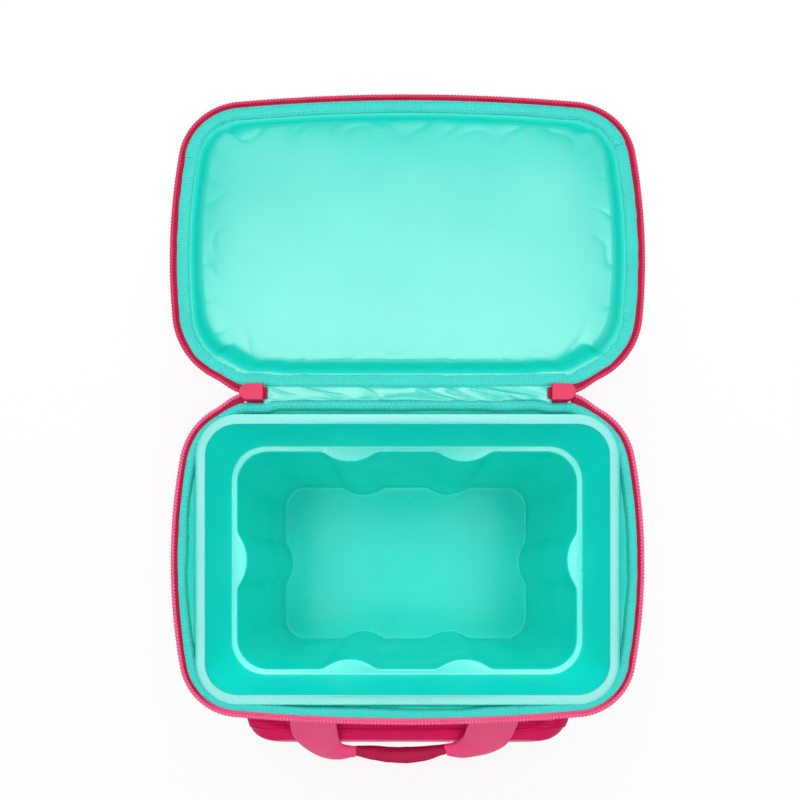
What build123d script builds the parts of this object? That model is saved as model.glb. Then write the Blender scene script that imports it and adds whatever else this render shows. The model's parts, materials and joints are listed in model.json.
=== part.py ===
"""Soft-sided insulated carrier with a lift-out moulded liner tub.

The bag stands on its base at the origin, with its front towards -Y and its lid thrown back
over the rear edge.  All lengths are millimetres.
"""
import os
from math import atan2, cos, degrees, radians, sin

from build123d import *

os.makedirs("parts", exist_ok=True)

# ---------------------------------------------------------------- driving dimensions
# Bag body: plan outline at the zip line
fold_height = 220.0             # height of the zip line, where lid and body meet
rim_half_width = 156.0
rim_half_depth = 107.0
rim_side_bow = 15.0             # how far a side stands out between its corners
rim_front_bow = 8.0
rim_front_radius = 40.0
rim_rear_radius = 46.0

# Walls, from the outside in
cloth = 1.2                     # coated polyester
base_board_thickness = 3.0
foam_thickness = 5.0
lining_thickness = 0.8
wall_setback = 2.0              # the wall stands this far inside the zip's edge

# Zip round the rim, and the tape that binds the seam
coil_width = 2.0
coil_height = 2.0
coil_edge = 0.5
zip_tape_thickness = 0.8
zip_tape_width = 2.2            # the part that shows between coil and binding
ring_gap = 0.4                  # each rim stops this far short of the zip line
binding_height = 6.6
hinge_half_length = 92.0        # the unzipped stretch along the rear, from the middle
zip_start = 118.0               # the coils start this far from the middle

# Lid
lid_droop = 5.5                 # degrees below level when thrown right back
lid_half_width = 159.0
lid_length = 209.2
lid_side_bow = 12.0
lid_front_bow = 9.0
lid_front_radius = 44.0
lid_rear_radius = 54.0
lid_height = 16.0
lid_draw_in = 5.0               # how far the cover draws in up to its top
lid_binding_width = 10.0
lid_binding_height = 4.0
lid_pad_recess = 0.8            # the padded lining lies this far inside the binding's face
lid_pad_edge = 1.6

# Hinge strip between body and lid
hinge_half_gap = 4.3
strip_clearance = 0.5
strip_thickness = 0.8
tab_length = 10.0
tab_thickness = 1.2

# Zip sliders and pulls
slider_length = 16.0
slider_width = 11.0
slider_plate = 1.4
slider_edge = 0.45
slider_channel = 3.0            # between its two plates
slider_neck_width = 3.0
slider_neck_length = 4.5
slider_inboard = 94.0           # its straight end, from the middle of the bag
bridge_height = 3.6
bridge_thickness = 1.2
bridge_share = 0.6              # of the slider's length
pull_pin_radius = 0.9
pull_pin_clearance = 0.3
pull_width = 8.0
pull_length = 30.0
pull_thickness = 2.0
pull_end_radius = 2.6
pull_eye_margin = 0.5           # between the bridge and the sides of the pull's eye
pull_eye_spare = 4.0            # the eye is this much longer than the bridge is high

# Liner tub
tub_side_gap = 16.0             # from the zip line in to the tub's rim, at each side
tub_end_gap = 11.0              # the same at the front and the rear
tub_rim_radius = 28.0
tub_flange = 7.0
tub_flange_thickness = 2.2
tub_lip_drop = 4.0
tub_wall = 2.0
tub_shift = 2.0                 # towards the hinge
tub_below_fold = 1.0            # the rim's top, below the zip line
tub_rim_clearance = 1.2         # from the tub's rim to the binding round it
tub_seat_clearance = 0.3
upper_wall_height = 39.0        # from the rim's top down to the ledge
upper_wall_flare = 6.2
ledge_width = 4.5
lower_wall_draft = 3.0
tub_floor_radius = 3.0
rib_radius = 30.0
rib_depth = 7.0
rib_spacing = 83.0
tub_rim_edge = 1.2

# Front pocket
pocket_half_width = 118.0
pocket_drop = 59.0              # its top, below the zip line
pocket_height = 131.0
pocket_corner_radius = 26.0
pocket_depth = 29.5             # how far it stands out from the middle of the wall
pocket_edge_radius = 2.4
pocket_face_depth = 2.5         # the front panel's share of that, up to the piping
pocket_piping = 2.6
pocket_piping_edge = 0.4
pocket_zip_half_length = 100.0
pocket_zip_reach = 8.0          # from the wall out to the zip's middle
pocket_slot_width = 8.0
pocket_coil_width = 4.0
pocket_coil_height = 1.6
pocket_coil_edge = 0.7
pocket_slider_place = 97.0      # its straight end, from the middle of the bag
pocket_slider_length = 14.0
pocket_slider_width = 9.0
pocket_pull_length = 20.0

# Carrying handles
webbing_width = 32.0
webbing_thickness = 2.6
handle_half_spread = 62.5       # from the middle to each leg's centre
handle_root_drop = 28.0         # the fold at each leg's root, below the zip line
handle_root_gap = 2.8           # from the wall out to that fold
handle_slope = 46.0             # degrees below level at which the loop hangs
handle_drop = 56.0              # from the fold to the middle of the grip
leg_outer_straight = 35.0       # down a leg's outer edge before it turns in to the grip
leg_inner_straight = 28.0
leg_heel = 6.0                  # a leg's lowest edge, out from the grip's end
grip_half_length = 44.0
grip_width = 14.0
grip_thickness = 9.0
grip_core_width = 8.0           # the strap where it runs inside the grip
grip_edge_radius = 2.7
anchor_height = 34.0
anchor_drop = 6.0               # its centre, below the fold
anchor_depth = 12.0             # before it is cut back to the wall
anchor_corner_radius = 2.0
fold_clearance = 0.4

# ---------------------------------------------------------------- derived places
fold_y = rim_half_depth + hinge_half_gap
wall_reach = rim_half_depth - wall_setback
tub_half_width = rim_half_width - tub_side_gap
tub_half_depth = rim_half_depth - tub_end_gap
pocket_top = fold_height - pocket_drop
pocket_bottom = pocket_top - pocket_height
pocket_front = -wall_reach - pocket_depth
pocket_gusset_front = pocket_front + pocket_face_depth
pocket_zip_centre = -wall_reach - pocket_zip_reach
handle_root_height = fold_height - handle_root_drop
handle_root_reach = wall_reach + handle_root_gap
lid_lean = lid_draw_in / lid_height
ring_top = fold_height - ring_gap
tape_top = ring_top - coil_height / 2 + zip_tape_thickness / 2
tape_bottom = tape_top - zip_tape_thickness
binding_inset = coil_width + zip_tape_width
binding_bottom = ring_top - binding_height
foam_inset = wall_setback + cloth
lining_inset = foam_inset + foam_thickness
cavity_inset = lining_inset + lining_thickness
board_bottom = cloth
foam_bottom = board_bottom + base_board_thickness
lining_bottom = foam_bottom + foam_thickness
cavity_bottom = lining_bottom + lining_thickness

lid_plane = Plane(
    origin=(0, fold_y, fold_height),
    x_dir=(1, 0, 0),
    z_dir=(0, -sin(radians(lid_droop)), -cos(radians(lid_droop))),
)
strip_plane = Plane(
    origin=(0, fold_y, fold_height),
    x_dir=(1, 0, 0),
    z_dir=(0, sin(radians(lid_droop / 2)), cos(radians(lid_droop / 2))),
)


# ---------------------------------------------------------------- outlines and forms
def bow_radius(half_chord, bow):
    """The radius of an edge that stands out by bow at its middle."""
    return (half_chord**2 + bow**2) / (2 * bow)


def bowed_outline(half_width, rear, front, side_bow, front_bow, rear_radius, front_radius, inset):
    """A plan outline with a straight rear edge and three edges that bow outwards, drawn in."""
    middle = (rear + front) / 2
    side_arc = bow_radius((rear - front) / 2, side_bow)
    front_arc = bow_radius(half_width - side_bow, front_bow)
    with BuildSketch() as outline:
        with Locations((half_width - side_arc, middle)):
            Circle(side_arc - inset)
        with Locations((side_arc - half_width, middle)):
            Circle(side_arc - inset, mode=Mode.INTERSECT)
        with Locations((0, front + front_arc)):
            Circle(front_arc - inset, mode=Mode.INTERSECT)
        with Locations((0, rear - inset)):
            Rectangle(
                2 * half_width, 2 * (rear - front), align=(Align.CENTER, Align.MAX),
                mode=Mode.INTERSECT,
            )
        fillet(outline.vertices().sort_by(Axis.Y)[-2:], rear_radius - inset)
        fillet(outline.vertices().sort_by(Axis.Y)[:2], front_radius - inset)
    return outline.sketch


def rim_outline(inset=0.0):
    """The bag's outline at the zip line, drawn in by inset."""
    return bowed_outline(
        rim_half_width, rim_half_depth, -rim_half_depth, rim_side_bow, rim_front_bow,
        rim_rear_radius, rim_front_radius, inset,
    )


def lid_outline(inset=0.0):
    """The lid's outline at its zip, measured from the hinge line, drawn in by inset."""
    return bowed_outline(
        lid_half_width, -hinge_half_gap, -hinge_half_gap - lid_length, lid_side_bow,
        lid_front_bow, lid_rear_radius, lid_front_radius, inset,
    )


def bag_form(inset, bottom=0.0, top=fold_height):
    """The bag's upright form between two heights, drawn in by inset."""
    with BuildPart() as form:
        with BuildSketch(Plane.XY.offset(bottom)):
            add(rim_outline(inset))
        extrude(amount=top - bottom)
    return form.part


def lid_form(inset, bottom, top):
    """The lid's tapering form, as closed, between two heights, drawn in by inset."""
    with BuildPart() as form:
        for height in (bottom, top):
            with BuildSketch(Plane.XY.offset(height)):
                add(lid_outline(inset + height * lid_lean))
        loft()
    return form.part


def save(part, name):
    """Label a finished piece and write its file."""
    part.label = name
    export_step(part, f"parts/{name}.step")


# ---------------------------------------------------------------- bag body: walls and base
with BuildPart() as body_outer_wall:
    add(bag_form(wall_setback, cloth, tape_bottom))
    add(bag_form(foam_inset, cloth, tape_bottom), mode=Mode.SUBTRACT)
save(body_outer_wall.part, "body_outer_wall")

with BuildPart() as body_base_panel:
    add(bag_form(wall_setback, 0.0, cloth))
save(body_base_panel.part, "body_base_panel")

with BuildPart() as base_board:
    add(bag_form(foam_inset, board_bottom, foam_bottom))
save(base_board.part, "base_board")

with BuildPart() as body_foam:
    add(bag_form(foam_inset, foam_bottom, binding_bottom))
    add(bag_form(lining_inset, lining_bottom, binding_bottom), mode=Mode.SUBTRACT)
save(body_foam.part, "body_foam")

with BuildPart() as body_lining:
    add(bag_form(lining_inset, lining_bottom, binding_bottom))
    add(bag_form(cavity_inset, cavity_bottom, binding_bottom), mode=Mode.SUBTRACT)
save(body_lining.part, "body_lining")


# ---------------------------------------------------------------- bag body: rim
rear_cut = 4 * binding_inset    # deep enough to take the trim off the rear edge


def tub_outline(grow, radius_grow=0.0):
    """The tub's rim outline, grown outwards."""
    with BuildSketch() as outline:
        with Locations((0, tub_shift)):
            RectangleRounded(
                2 * (tub_half_width + grow), 2 * (tub_half_depth + grow),
                tub_rim_radius + radius_grow,
            )
    return outline.sketch


with BuildPart() as body_binding:
    add(bag_form(foam_inset, binding_bottom, ring_top))
    with BuildSketch(Plane.XY.offset(binding_bottom)):
        add(tub_outline(tub_rim_clearance))
    extrude(amount=binding_height, mode=Mode.SUBTRACT)
save(body_binding.part, "body_binding")

# The hem that carries the hinge strip, where the rear edge has no zip
with BuildPart() as body_hinge_hem:
    with BuildSketch(Plane.XY.offset(tape_bottom)):
        with Locations((0, rim_half_depth)):
            Rectangle(2 * hinge_half_length, foam_inset, align=(Align.CENTER, Align.MAX))
    extrude(amount=ring_top - tape_bottom)
save(body_hinge_hem.part, "body_hinge_hem")

with BuildPart() as body_zip_tape:
    with BuildSketch(Plane.XY.offset(tape_bottom)):
        add(rim_outline(coil_width))
    extrude(amount=zip_tape_thickness)
    add(bag_form(foam_inset, tape_bottom, tape_top), mode=Mode.SUBTRACT)
    with BuildSketch(Plane.XY.offset(tape_bottom)):
        with Locations((0, rim_half_depth)):
            Rectangle(2 * zip_start, rear_cut)
    extrude(amount=zip_tape_thickness, mode=Mode.SUBTRACT)
save(body_zip_tape.part, "body_zip_tape")

with BuildPart() as body_zip_coil:
    with BuildSketch(Plane.XY.offset(ring_top - coil_height)):
        add(rim_outline())
        add(rim_outline(coil_width), mode=Mode.SUBTRACT)
        with Locations((0, rim_half_depth)):
            Rectangle(2 * zip_start, rear_cut, mode=Mode.SUBTRACT)
    extrude(amount=coil_height)
    chamfer(body_zip_coil.faces().sort_by(Axis.Z)[-1].edges(), coil_edge)
save(body_zip_coil.part, "body_zip_coil")

# ---------------------------------------------------------------- lid, modelled as closed
lid_ring_bottom = ring_gap
lid_tape_bottom = lid_ring_bottom + coil_height / 2 - zip_tape_thickness / 2
lid_tape_top = lid_tape_bottom + zip_tape_thickness
lid_binding_top = lid_ring_bottom + lid_binding_height
lid_foam_top = lid_height - cloth
lid_window_inset = binding_inset + lid_binding_width


def on_lid(part):
    """Turn a piece from the closed lid's frame to where it lies with the lid thrown back."""
    return lid_plane.location * part


with BuildPart() as lid_cover:
    add(lid_form(wall_setback, lid_tape_top, lid_height))
    add(lid_form(foam_inset, lid_tape_top, lid_foam_top), mode=Mode.SUBTRACT)
save(on_lid(lid_cover.part), "lid_cover")

with BuildPart() as lid_foam:
    add(lid_form(foam_inset, lid_binding_top, lid_foam_top))
save(on_lid(lid_foam.part), "lid_foam")

with BuildPart() as lid_binding:
    add(lid_form(foam_inset, lid_ring_bottom, lid_binding_top))
    with BuildSketch(Plane.XY.offset(lid_ring_bottom)):
        add(lid_outline(lid_window_inset))
    extrude(amount=lid_binding_height, mode=Mode.SUBTRACT)
save(on_lid(lid_binding.part), "lid_binding")

with BuildPart() as lid_hinge_hem:
    with BuildSketch(Plane.XY.offset(lid_ring_bottom)):
        with Locations((0, -hinge_half_gap)):
            Rectangle(2 * hinge_half_length, foam_inset, align=(Align.CENTER, Align.MAX))
    extrude(amount=lid_tape_top - lid_ring_bottom)
save(on_lid(lid_hinge_hem.part), "lid_hinge_hem")

with BuildPart() as lid_lining_pad:
    with BuildSketch(Plane.XY.offset(lid_ring_bottom + lid_pad_recess)):
        add(lid_outline(lid_window_inset))
    extrude(amount=lid_binding_height - lid_pad_recess)
    chamfer(lid_lining_pad.faces().sort_by(Axis.Z)[0].edges(), lid_pad_edge)
save(on_lid(lid_lining_pad.part), "lid_lining_pad")

with BuildPart() as lid_zip_tape:
    with BuildSketch(Plane.XY.offset(lid_tape_bottom)):
        add(lid_outline(coil_width))
        with Locations((0, -hinge_half_gap)):
            Rectangle(2 * zip_start, rear_cut, mode=Mode.SUBTRACT)
    extrude(amount=zip_tape_thickness)
    add(lid_form(foam_inset, lid_tape_bottom, lid_tape_top), mode=Mode.SUBTRACT)
save(on_lid(lid_zip_tape.part), "lid_zip_tape")

with BuildPart() as lid_zip_coil:
    with BuildSketch(Plane.XY.offset(lid_ring_bottom)):
        add(lid_outline())
        add(lid_outline(coil_width), mode=Mode.SUBTRACT)
        with Locations((0, -hinge_half_gap)):
            Rectangle(2 * zip_start, rear_cut, mode=Mode.SUBTRACT)
    extrude(amount=coil_height)
    chamfer(lid_zip_coil.faces().sort_by(Axis.Z)[0].edges(), coil_edge)
save(on_lid(lid_zip_coil.part), "lid_zip_coil")

# ---------------------------------------------------------------- hinge strip and zip ends
strip_half_width = hinge_half_gap - strip_clearance

for name, level in (("hinge_strip_lining", 0.0), ("hinge_strip_outer", -strip_thickness)):
    with BuildPart() as strip:
        with BuildSketch(strip_plane.offset(level)):
            Rectangle(2 * (hinge_half_length - strip_clearance), 2 * strip_half_width)
        extrude(amount=strip_thickness)
    save(strip.part, name)


slider_under = -slider_channel / 2 - slider_plate


def nosed_plate(length, width):
    """A slider plate seen from above: square at its inboard end, round at its nose."""
    nose = width / 2
    with BuildSketch() as plate:
        Rectangle(length - nose, width, align=(Align.MIN, Align.CENTER))
        with Locations((length - nose, 0)):
            Circle(nose)
    return plate.sketch


def slider_bridge(length, level):
    """The arch under a slider's outer plate that holds the pull's pin."""
    span = length * bridge_share
    with BuildSketch() as bridge:
        with Locations((length / 2, level)):
            Rectangle(span, bridge_height, align=(Align.CENTER, Align.MAX))
            Rectangle(
                span - 2 * bridge_thickness, bridge_height - bridge_thickness,
                align=(Align.CENTER, Align.MAX), mode=Mode.SUBTRACT,
            )
    return bridge.sketch


def zip_slider():
    """A lid zip's slider: two nosed plates, the neck that parts the coils, and the bridge."""
    with BuildPart() as slider:
        with BuildSketch(Plane.XY.offset(slider_channel / 2)):
            add(nosed_plate(slider_length, slider_width))
        extrude(amount=slider_plate)
        chamfer(slider.faces().sort_by(Axis.Z)[-1].edges(), slider_edge)
        with BuildSketch(Plane.XY.offset(slider_under)):
            add(nosed_plate(slider_length, slider_width))
        extrude(amount=slider_plate)
        with BuildSketch(Plane.XY.offset(-slider_channel / 2)):
            with Locations((slider_length - slider_neck_length, 0)):
                SlotCenterToCenter(slider_neck_length - slider_neck_width / 2, slider_neck_width)
        extrude(amount=slider_channel)
        with BuildSketch(Plane.XZ):
            add(slider_bridge(slider_length, slider_under))
        extrude(amount=slider_neck_width / 2, both=True)
    return slider.part


def pin_under(level):
    """The height of a pull's pin in the bridge of a plate whose face is at level."""
    return level - bridge_height + bridge_thickness + pull_pin_radius + pull_pin_clearance


def zip_pull(length, tongue, level):
    """A pull: a pin through the bridge, and a tongue that hangs from it."""
    pin_level = pin_under(level)
    with BuildPart() as pull:
        with BuildSketch(Plane.XZ):
            with Locations((length / 2, pin_level)):
                Circle(pull_pin_radius)
        extrude(amount=pull_width / 2, both=True)
        with BuildSketch(Plane.YZ.offset(length / 2)):
            with Locations((0, pin_level)):
                Rectangle(pull_width, tongue, align=(Align.CENTER, Align.MAX))
            with Locations((0, pin_level + pull_pin_radius)):
                Rectangle(
                    slider_neck_width + 2 * pull_eye_margin, bridge_height + pull_eye_spare,
                    align=(Align.CENTER, Align.MAX), mode=Mode.SUBTRACT,
                )
        extrude(amount=pull_thickness / 2, both=True)
        fillet(pull.edges().filter_by(Axis.X).group_by(Axis.Z)[0], pull_end_radius)
    return pull.part


for side, word in ((-1, "left"), (1, "right")):
    with BuildPart() as zip_end_tab:
        with BuildSketch(strip_plane.offset(-tab_thickness / 2)):
            with Locations((side * (hinge_half_length + tab_length / 2), 0)):
                Rectangle(tab_length, 2 * strip_half_width)
        extrude(amount=tab_thickness)
    save(zip_end_tab.part, f"zip_end_tab_{word}")
    slider = Pos(slider_inboard, 0, 0) * zip_slider()
    pull = Pos(slider_inboard, 0, 0) * zip_pull(slider_length, pull_length, slider_under)
    if side < 0:
        slider = slider.mirror(Plane.YZ)
        pull = pull.mirror(Plane.YZ)
    save(strip_plane.location * slider, f"zip_slider_{word}")
    save(strip_plane.location * pull, f"zip_pull_{word}")

# ---------------------------------------------------------------- liner tub
tub_top = fold_height - tub_below_fold
ledge_height = tub_top - upper_wall_height
tub_bottom = cavity_bottom + tub_seat_clearance
tub_floor = tub_bottom + tub_wall
mouth_half_width = tub_half_width - tub_flange
mouth_half_depth = tub_half_depth - tub_flange
ledge_half_width = mouth_half_width - upper_wall_flare
ledge_half_depth = mouth_half_depth - upper_wall_flare
lower_half_width = ledge_half_width - ledge_width
lower_half_depth = ledge_half_depth - ledge_width
mouth_radius = tub_rim_radius - tub_flange
rib_reach = rib_radius - rib_depth
rib_centres = [
    (x * rib_spacing / 2, y * (lower_half_depth + rib_reach) + tub_shift)
    for x in (-1, 1)
    for y in (-1, 1)
] + [(x * (lower_half_width + rib_reach), tub_shift) for x in (-1, 1)]


def tub_form(top, bottom, half_width, half_depth, radius, draft):
    """A tapering block of the tub: its size at the top, and how far it draws in to the bottom."""
    height = top - bottom
    with BuildPart() as form:
        with BuildSketch(Plane.XY.offset(top)):
            with Locations((0, tub_shift)):
                RectangleRounded(2 * half_width, 2 * half_depth, radius)
        extrude(amount=height, dir=(0, 0, -1), taper=degrees(atan2(draft, height)))
    return form.part


def ribbed(form, bottom, top, radius):
    """A block with the six half-round ribs cut out of its sides."""
    with BuildPart() as block:
        add(form)
        with BuildSketch(Plane.XY.offset(bottom)):
            with Locations(*rib_centres):
                Circle(radius)
        extrude(amount=top - bottom, mode=Mode.SUBTRACT)
    return block.part


lower_cavity = ribbed(
    tub_form(
        ledge_height, tub_floor, lower_half_width, lower_half_depth, mouth_radius,
        lower_wall_draft,
    ),
    tub_floor, ledge_height, rib_radius,
)
lower_shell = ribbed(
    tub_form(
        ledge_height, tub_bottom, lower_half_width + tub_wall, lower_half_depth + tub_wall,
        mouth_radius + tub_wall, lower_wall_draft,
    ),
    tub_bottom, ledge_height - tub_wall, rib_radius - tub_wall,
)

with BuildPart() as liner_tub:
    add(lower_shell)
    add(tub_form(
        tub_top, ledge_height - tub_wall, mouth_half_width + tub_wall,
        mouth_half_depth + tub_wall, mouth_radius + tub_wall, upper_wall_flare,
    ))
    with BuildSketch(Plane.XY.offset(tub_top - tub_flange_thickness)):
        add(tub_outline(0.0))
    extrude(amount=tub_flange_thickness)
    fillet(liner_tub.faces().sort_by(Axis.Z)[-1].edges(), tub_rim_edge)
    with BuildSketch(Plane.XY.offset(tub_top - tub_lip_drop)):
        add(tub_outline(0.0))
        add(tub_outline(-tub_wall, -tub_wall), mode=Mode.SUBTRACT)
    extrude(amount=tub_lip_drop - tub_flange_thickness)
    add(lower_cavity, mode=Mode.SUBTRACT)
    add(
        tub_form(
            tub_top, ledge_height, mouth_half_width, mouth_half_depth, mouth_radius,
            upper_wall_flare,
        ),
        mode=Mode.SUBTRACT,
    )
save(liner_tub.part, "liner_tub")


# ---------------------------------------------------------------- front pocket
def pocket_outline(inset):
    """The pocket's face, seen from the front, drawn in by inset."""
    height = pocket_top - pocket_bottom
    with BuildSketch() as outline:
        with Locations((0, (pocket_top + pocket_bottom) / 2)):
            RectangleRounded(
                2 * (pocket_half_width - inset), height - 2 * inset,
                pocket_corner_radius - inset,
            )
    return outline.sketch


def pocket_form(inset):
    """The pocket as a block with a rounded front edge, from inside the bag's wall."""
    with BuildPart() as form:
        with BuildSketch(Plane.XZ):
            add(pocket_outline(inset))
        extrude(amount=-pocket_front - inset)
        fillet(form.faces().sort_by(Axis.Y)[0].edges(), pocket_edge_radius - inset)
    return form.part


with BuildPart() as pocket_shell:
    add(pocket_form(0.0))
    add(pocket_form(cloth), mode=Mode.SUBTRACT)
    add(bag_form(wall_setback), mode=Mode.SUBTRACT)

gusset_plane = Plane.XZ.offset(-pocket_gusset_front)

with BuildPart() as pocket_front_panel:
    add(pocket_shell.part)
    split(bisect_by=gusset_plane, keep=Keep.TOP)
save(pocket_front_panel.part, "pocket_front_panel")

with BuildPart() as pocket_gusset:
    add(pocket_shell.part)
    split(bisect_by=gusset_plane, keep=Keep.BOTTOM)
    with BuildSketch(Plane.XY.offset(pocket_top - cloth)):
        with Locations((0, pocket_zip_centre)):
            Rectangle(2 * pocket_zip_half_length, pocket_slot_width)
    extrude(amount=cloth, mode=Mode.SUBTRACT)
save(pocket_gusset.part, "pocket_gusset")

with BuildPart() as pocket_welt:
    with BuildSketch(gusset_plane.offset(-pocket_piping / 2)):
        add(pocket_outline(-pocket_piping / 2))
        add(pocket_outline(0.0), mode=Mode.SUBTRACT)
    extrude(amount=pocket_piping)
    chamfer(pocket_welt.edges().filter_by(GeomType.LINE).filter_by(Axis.X), pocket_piping_edge)
save(pocket_welt.part, "pocket_welt")

with BuildPart() as pocket_zip_tape:
    with BuildSketch(Plane.XY.offset(pocket_top - cloth)):
        with Locations((0, pocket_zip_centre)):
            Rectangle(2 * pocket_zip_half_length, pocket_slot_width)
    extrude(amount=zip_tape_thickness)
save(pocket_zip_tape.part, "pocket_zip_tape")

with BuildPart() as pocket_zip_coil:
    with BuildSketch(Plane.XY.offset(pocket_top - cloth + zip_tape_thickness)):
        with Locations((0, pocket_zip_centre)):
            Rectangle(2 * pocket_zip_half_length, pocket_coil_width)
    extrude(amount=pocket_coil_height)
    fillet(pocket_zip_coil.edges().filter_by(Axis.X).group_by(Axis.Z)[-1], pocket_coil_edge)
save(pocket_zip_coil.part, "pocket_zip_coil")

pocket_rail_top = pocket_top - cloth + zip_tape_thickness + pocket_coil_height
pocket_frame = Plane(
    origin=(pocket_slider_place, pocket_zip_centre, pocket_rail_top + pull_pin_clearance),
    x_dir=(-1, 0, 0),
    z_dir=(0, 0, -1),
)

with BuildPart() as pocket_slider:
    with BuildSketch(Plane.XY.offset(-slider_plate)):
        add(nosed_plate(pocket_slider_length, pocket_slider_width))
    extrude(amount=slider_plate)
    chamfer(pocket_slider.faces().sort_by(Axis.Z)[0].edges(), slider_edge)
    with BuildSketch(Plane.XZ):
        add(slider_bridge(pocket_slider_length, -slider_plate))
    extrude(amount=slider_neck_width / 2, both=True)
save(pocket_frame.location * pocket_slider.part, "pocket_slider")

with BuildPart() as pocket_pull:
    add(zip_pull(pocket_slider_length, pocket_pull_length, -slider_plate))
pocket_pin = Pos(pocket_slider_length / 2, 0, pin_under(-slider_plate))
lying_pull = pocket_pin * Rot(0, 90, 0) * pocket_pin.inverse() * pocket_pull.part
save(pocket_frame.location * lying_pull, "pocket_pull")


# ---------------------------------------------------------------- handles
def facing(front):
    """+1 for the rear wall, -1 for the front wall."""
    return -1 if front else 1


def handle_plane(front):
    """The plane in which a loop hangs, with its origin at the fold and its Y down the loop."""
    out = facing(front)
    slope = radians(handle_slope)
    return Plane(
        origin=(0, out * handle_root_reach, handle_root_height),
        x_dir=(-out, 0, 0),
        z_dir=(0, out * sin(slope), cos(slope)),
    )


def handle_webbing(front):
    """The loop: two flat legs, drawn together and run on through the grip."""
    outer = handle_half_spread + webbing_width / 2
    inner = handle_half_spread - webbing_width / 2
    low = handle_drop + grip_width / 2
    plane = handle_plane(front)
    with BuildPart() as webbing:
        with BuildSketch(plane.offset(-webbing_thickness / 2)):
            for side in (-1, 1):
                with BuildLine():
                    Polyline(
                        (side * inner, 0),
                        (side * outer, 0),
                        (side * outer, -leg_outer_straight),
                        (side * (grip_half_length + leg_heel), -low),
                        (side * grip_half_length, -low),
                        (side * grip_half_length, -handle_drop + grip_width / 2),
                        (side * inner, -leg_inner_straight),
                        close=True,
                    )
                make_face()
            with Locations((0, -handle_drop)):
                Rectangle(2 * grip_half_length, grip_core_width)
        extrude(amount=webbing_thickness)
        for side in (-1, 1):
            with BuildSketch(Plane.YZ.offset(side * handle_half_spread)):
                with Locations((facing(front) * handle_root_reach, handle_root_height)):
                    Circle(webbing_thickness / 2)
            extrude(amount=webbing_width / 2, both=True)
    return webbing.part


def handle_grip(front):
    """The padded wrap stitched round the middle of the loop."""
    plane = handle_plane(front)
    with BuildPart() as grip:
        with BuildSketch(plane.offset(-grip_thickness / 2)):
            with Locations((0, -handle_drop)):
                Rectangle(2 * grip_half_length, grip_width)
        extrude(amount=grip_thickness)
        fillet(grip.edges().filter_by(Axis.X), grip_edge_radius)
        with BuildSketch(plane.offset(-webbing_thickness / 2)):
            with Locations((0, -handle_drop)):
                Rectangle(2 * grip_half_length, grip_core_width)
        extrude(amount=webbing_thickness, mode=Mode.SUBTRACT)
    return grip.part


def handle_anchor(front):
    """The right leg's sewn end, flat on the bag's wall."""
    out = facing(front)
    face = handle_root_reach - fold_clearance - webbing_thickness / 2
    with BuildPart() as anchor:
        with BuildSketch(Plane.XZ.offset(-out * face)):
            with Locations((handle_half_spread, handle_root_height - anchor_drop)):
                RectangleRounded(webbing_width, anchor_height, anchor_corner_radius)
        extrude(amount=anchor_depth, dir=(0, -out, 0))
        add(bag_form(wall_setback), mode=Mode.SUBTRACT)
    return anchor.part


for front, word in ((True, "front"), (False, "rear")):
    save(handle_webbing(front), f"{word}_handle_webbing")
    save(handle_grip(front), f"{word}_handle_grip")
    save(handle_anchor(front), f"{word}_handle_anchor_right")
    save(handle_anchor(front).mirror(Plane.YZ), f"{word}_handle_anchor_left")
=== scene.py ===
"""A soft-sided insulated carrier with a lift-out liner tub, dressed for rendering.

Laid out as an add-on and run as a script.  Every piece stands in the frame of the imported
model, in metres; sizes below are given in millimetres and turned to metres by MM.
"""
import json
import math

import bmesh
import bpy
import numpy as np
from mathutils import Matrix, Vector


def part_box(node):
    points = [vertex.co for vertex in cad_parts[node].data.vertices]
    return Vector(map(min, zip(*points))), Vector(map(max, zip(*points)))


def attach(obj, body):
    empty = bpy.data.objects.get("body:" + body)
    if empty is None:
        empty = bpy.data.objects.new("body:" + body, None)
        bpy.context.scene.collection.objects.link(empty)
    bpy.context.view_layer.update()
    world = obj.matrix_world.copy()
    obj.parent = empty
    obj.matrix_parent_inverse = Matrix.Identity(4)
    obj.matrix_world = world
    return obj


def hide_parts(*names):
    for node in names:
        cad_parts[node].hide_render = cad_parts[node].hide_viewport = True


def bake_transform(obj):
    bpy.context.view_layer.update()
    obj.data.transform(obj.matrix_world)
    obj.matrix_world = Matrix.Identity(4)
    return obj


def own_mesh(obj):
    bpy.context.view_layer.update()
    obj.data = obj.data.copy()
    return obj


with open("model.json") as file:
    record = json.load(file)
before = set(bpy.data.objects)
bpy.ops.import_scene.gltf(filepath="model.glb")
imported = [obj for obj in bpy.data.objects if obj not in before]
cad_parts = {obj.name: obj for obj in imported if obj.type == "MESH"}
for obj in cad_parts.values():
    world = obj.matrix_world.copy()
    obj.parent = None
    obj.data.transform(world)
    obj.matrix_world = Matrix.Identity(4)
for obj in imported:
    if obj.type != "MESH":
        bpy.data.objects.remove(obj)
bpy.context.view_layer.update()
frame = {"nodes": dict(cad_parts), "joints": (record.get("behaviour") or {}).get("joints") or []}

bl_info = {
    "name": "Insulated Carrier",
    "version": (1, 0, 0),
    "blender": (4, 5, 0),
    "location": "3D View > Sidebar > Carrier",
    "description": "Dresses the packed model of a soft insulated carrier with its cloth, film and trim",
    "category": "Object",
}

MM = 0.001


def linear(hex_colour):
    """The linear colour of an sRGB hex value, with full alpha."""
    channels = [int(hex_colour[i:i + 2], 16) / 255 for i in (1, 3, 5)]
    return tuple(
        c / 12.92 if c <= 0.04045 else ((c + 0.055) / 1.055) ** 2.4 for c in channels
    ) + (1.0,)


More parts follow.
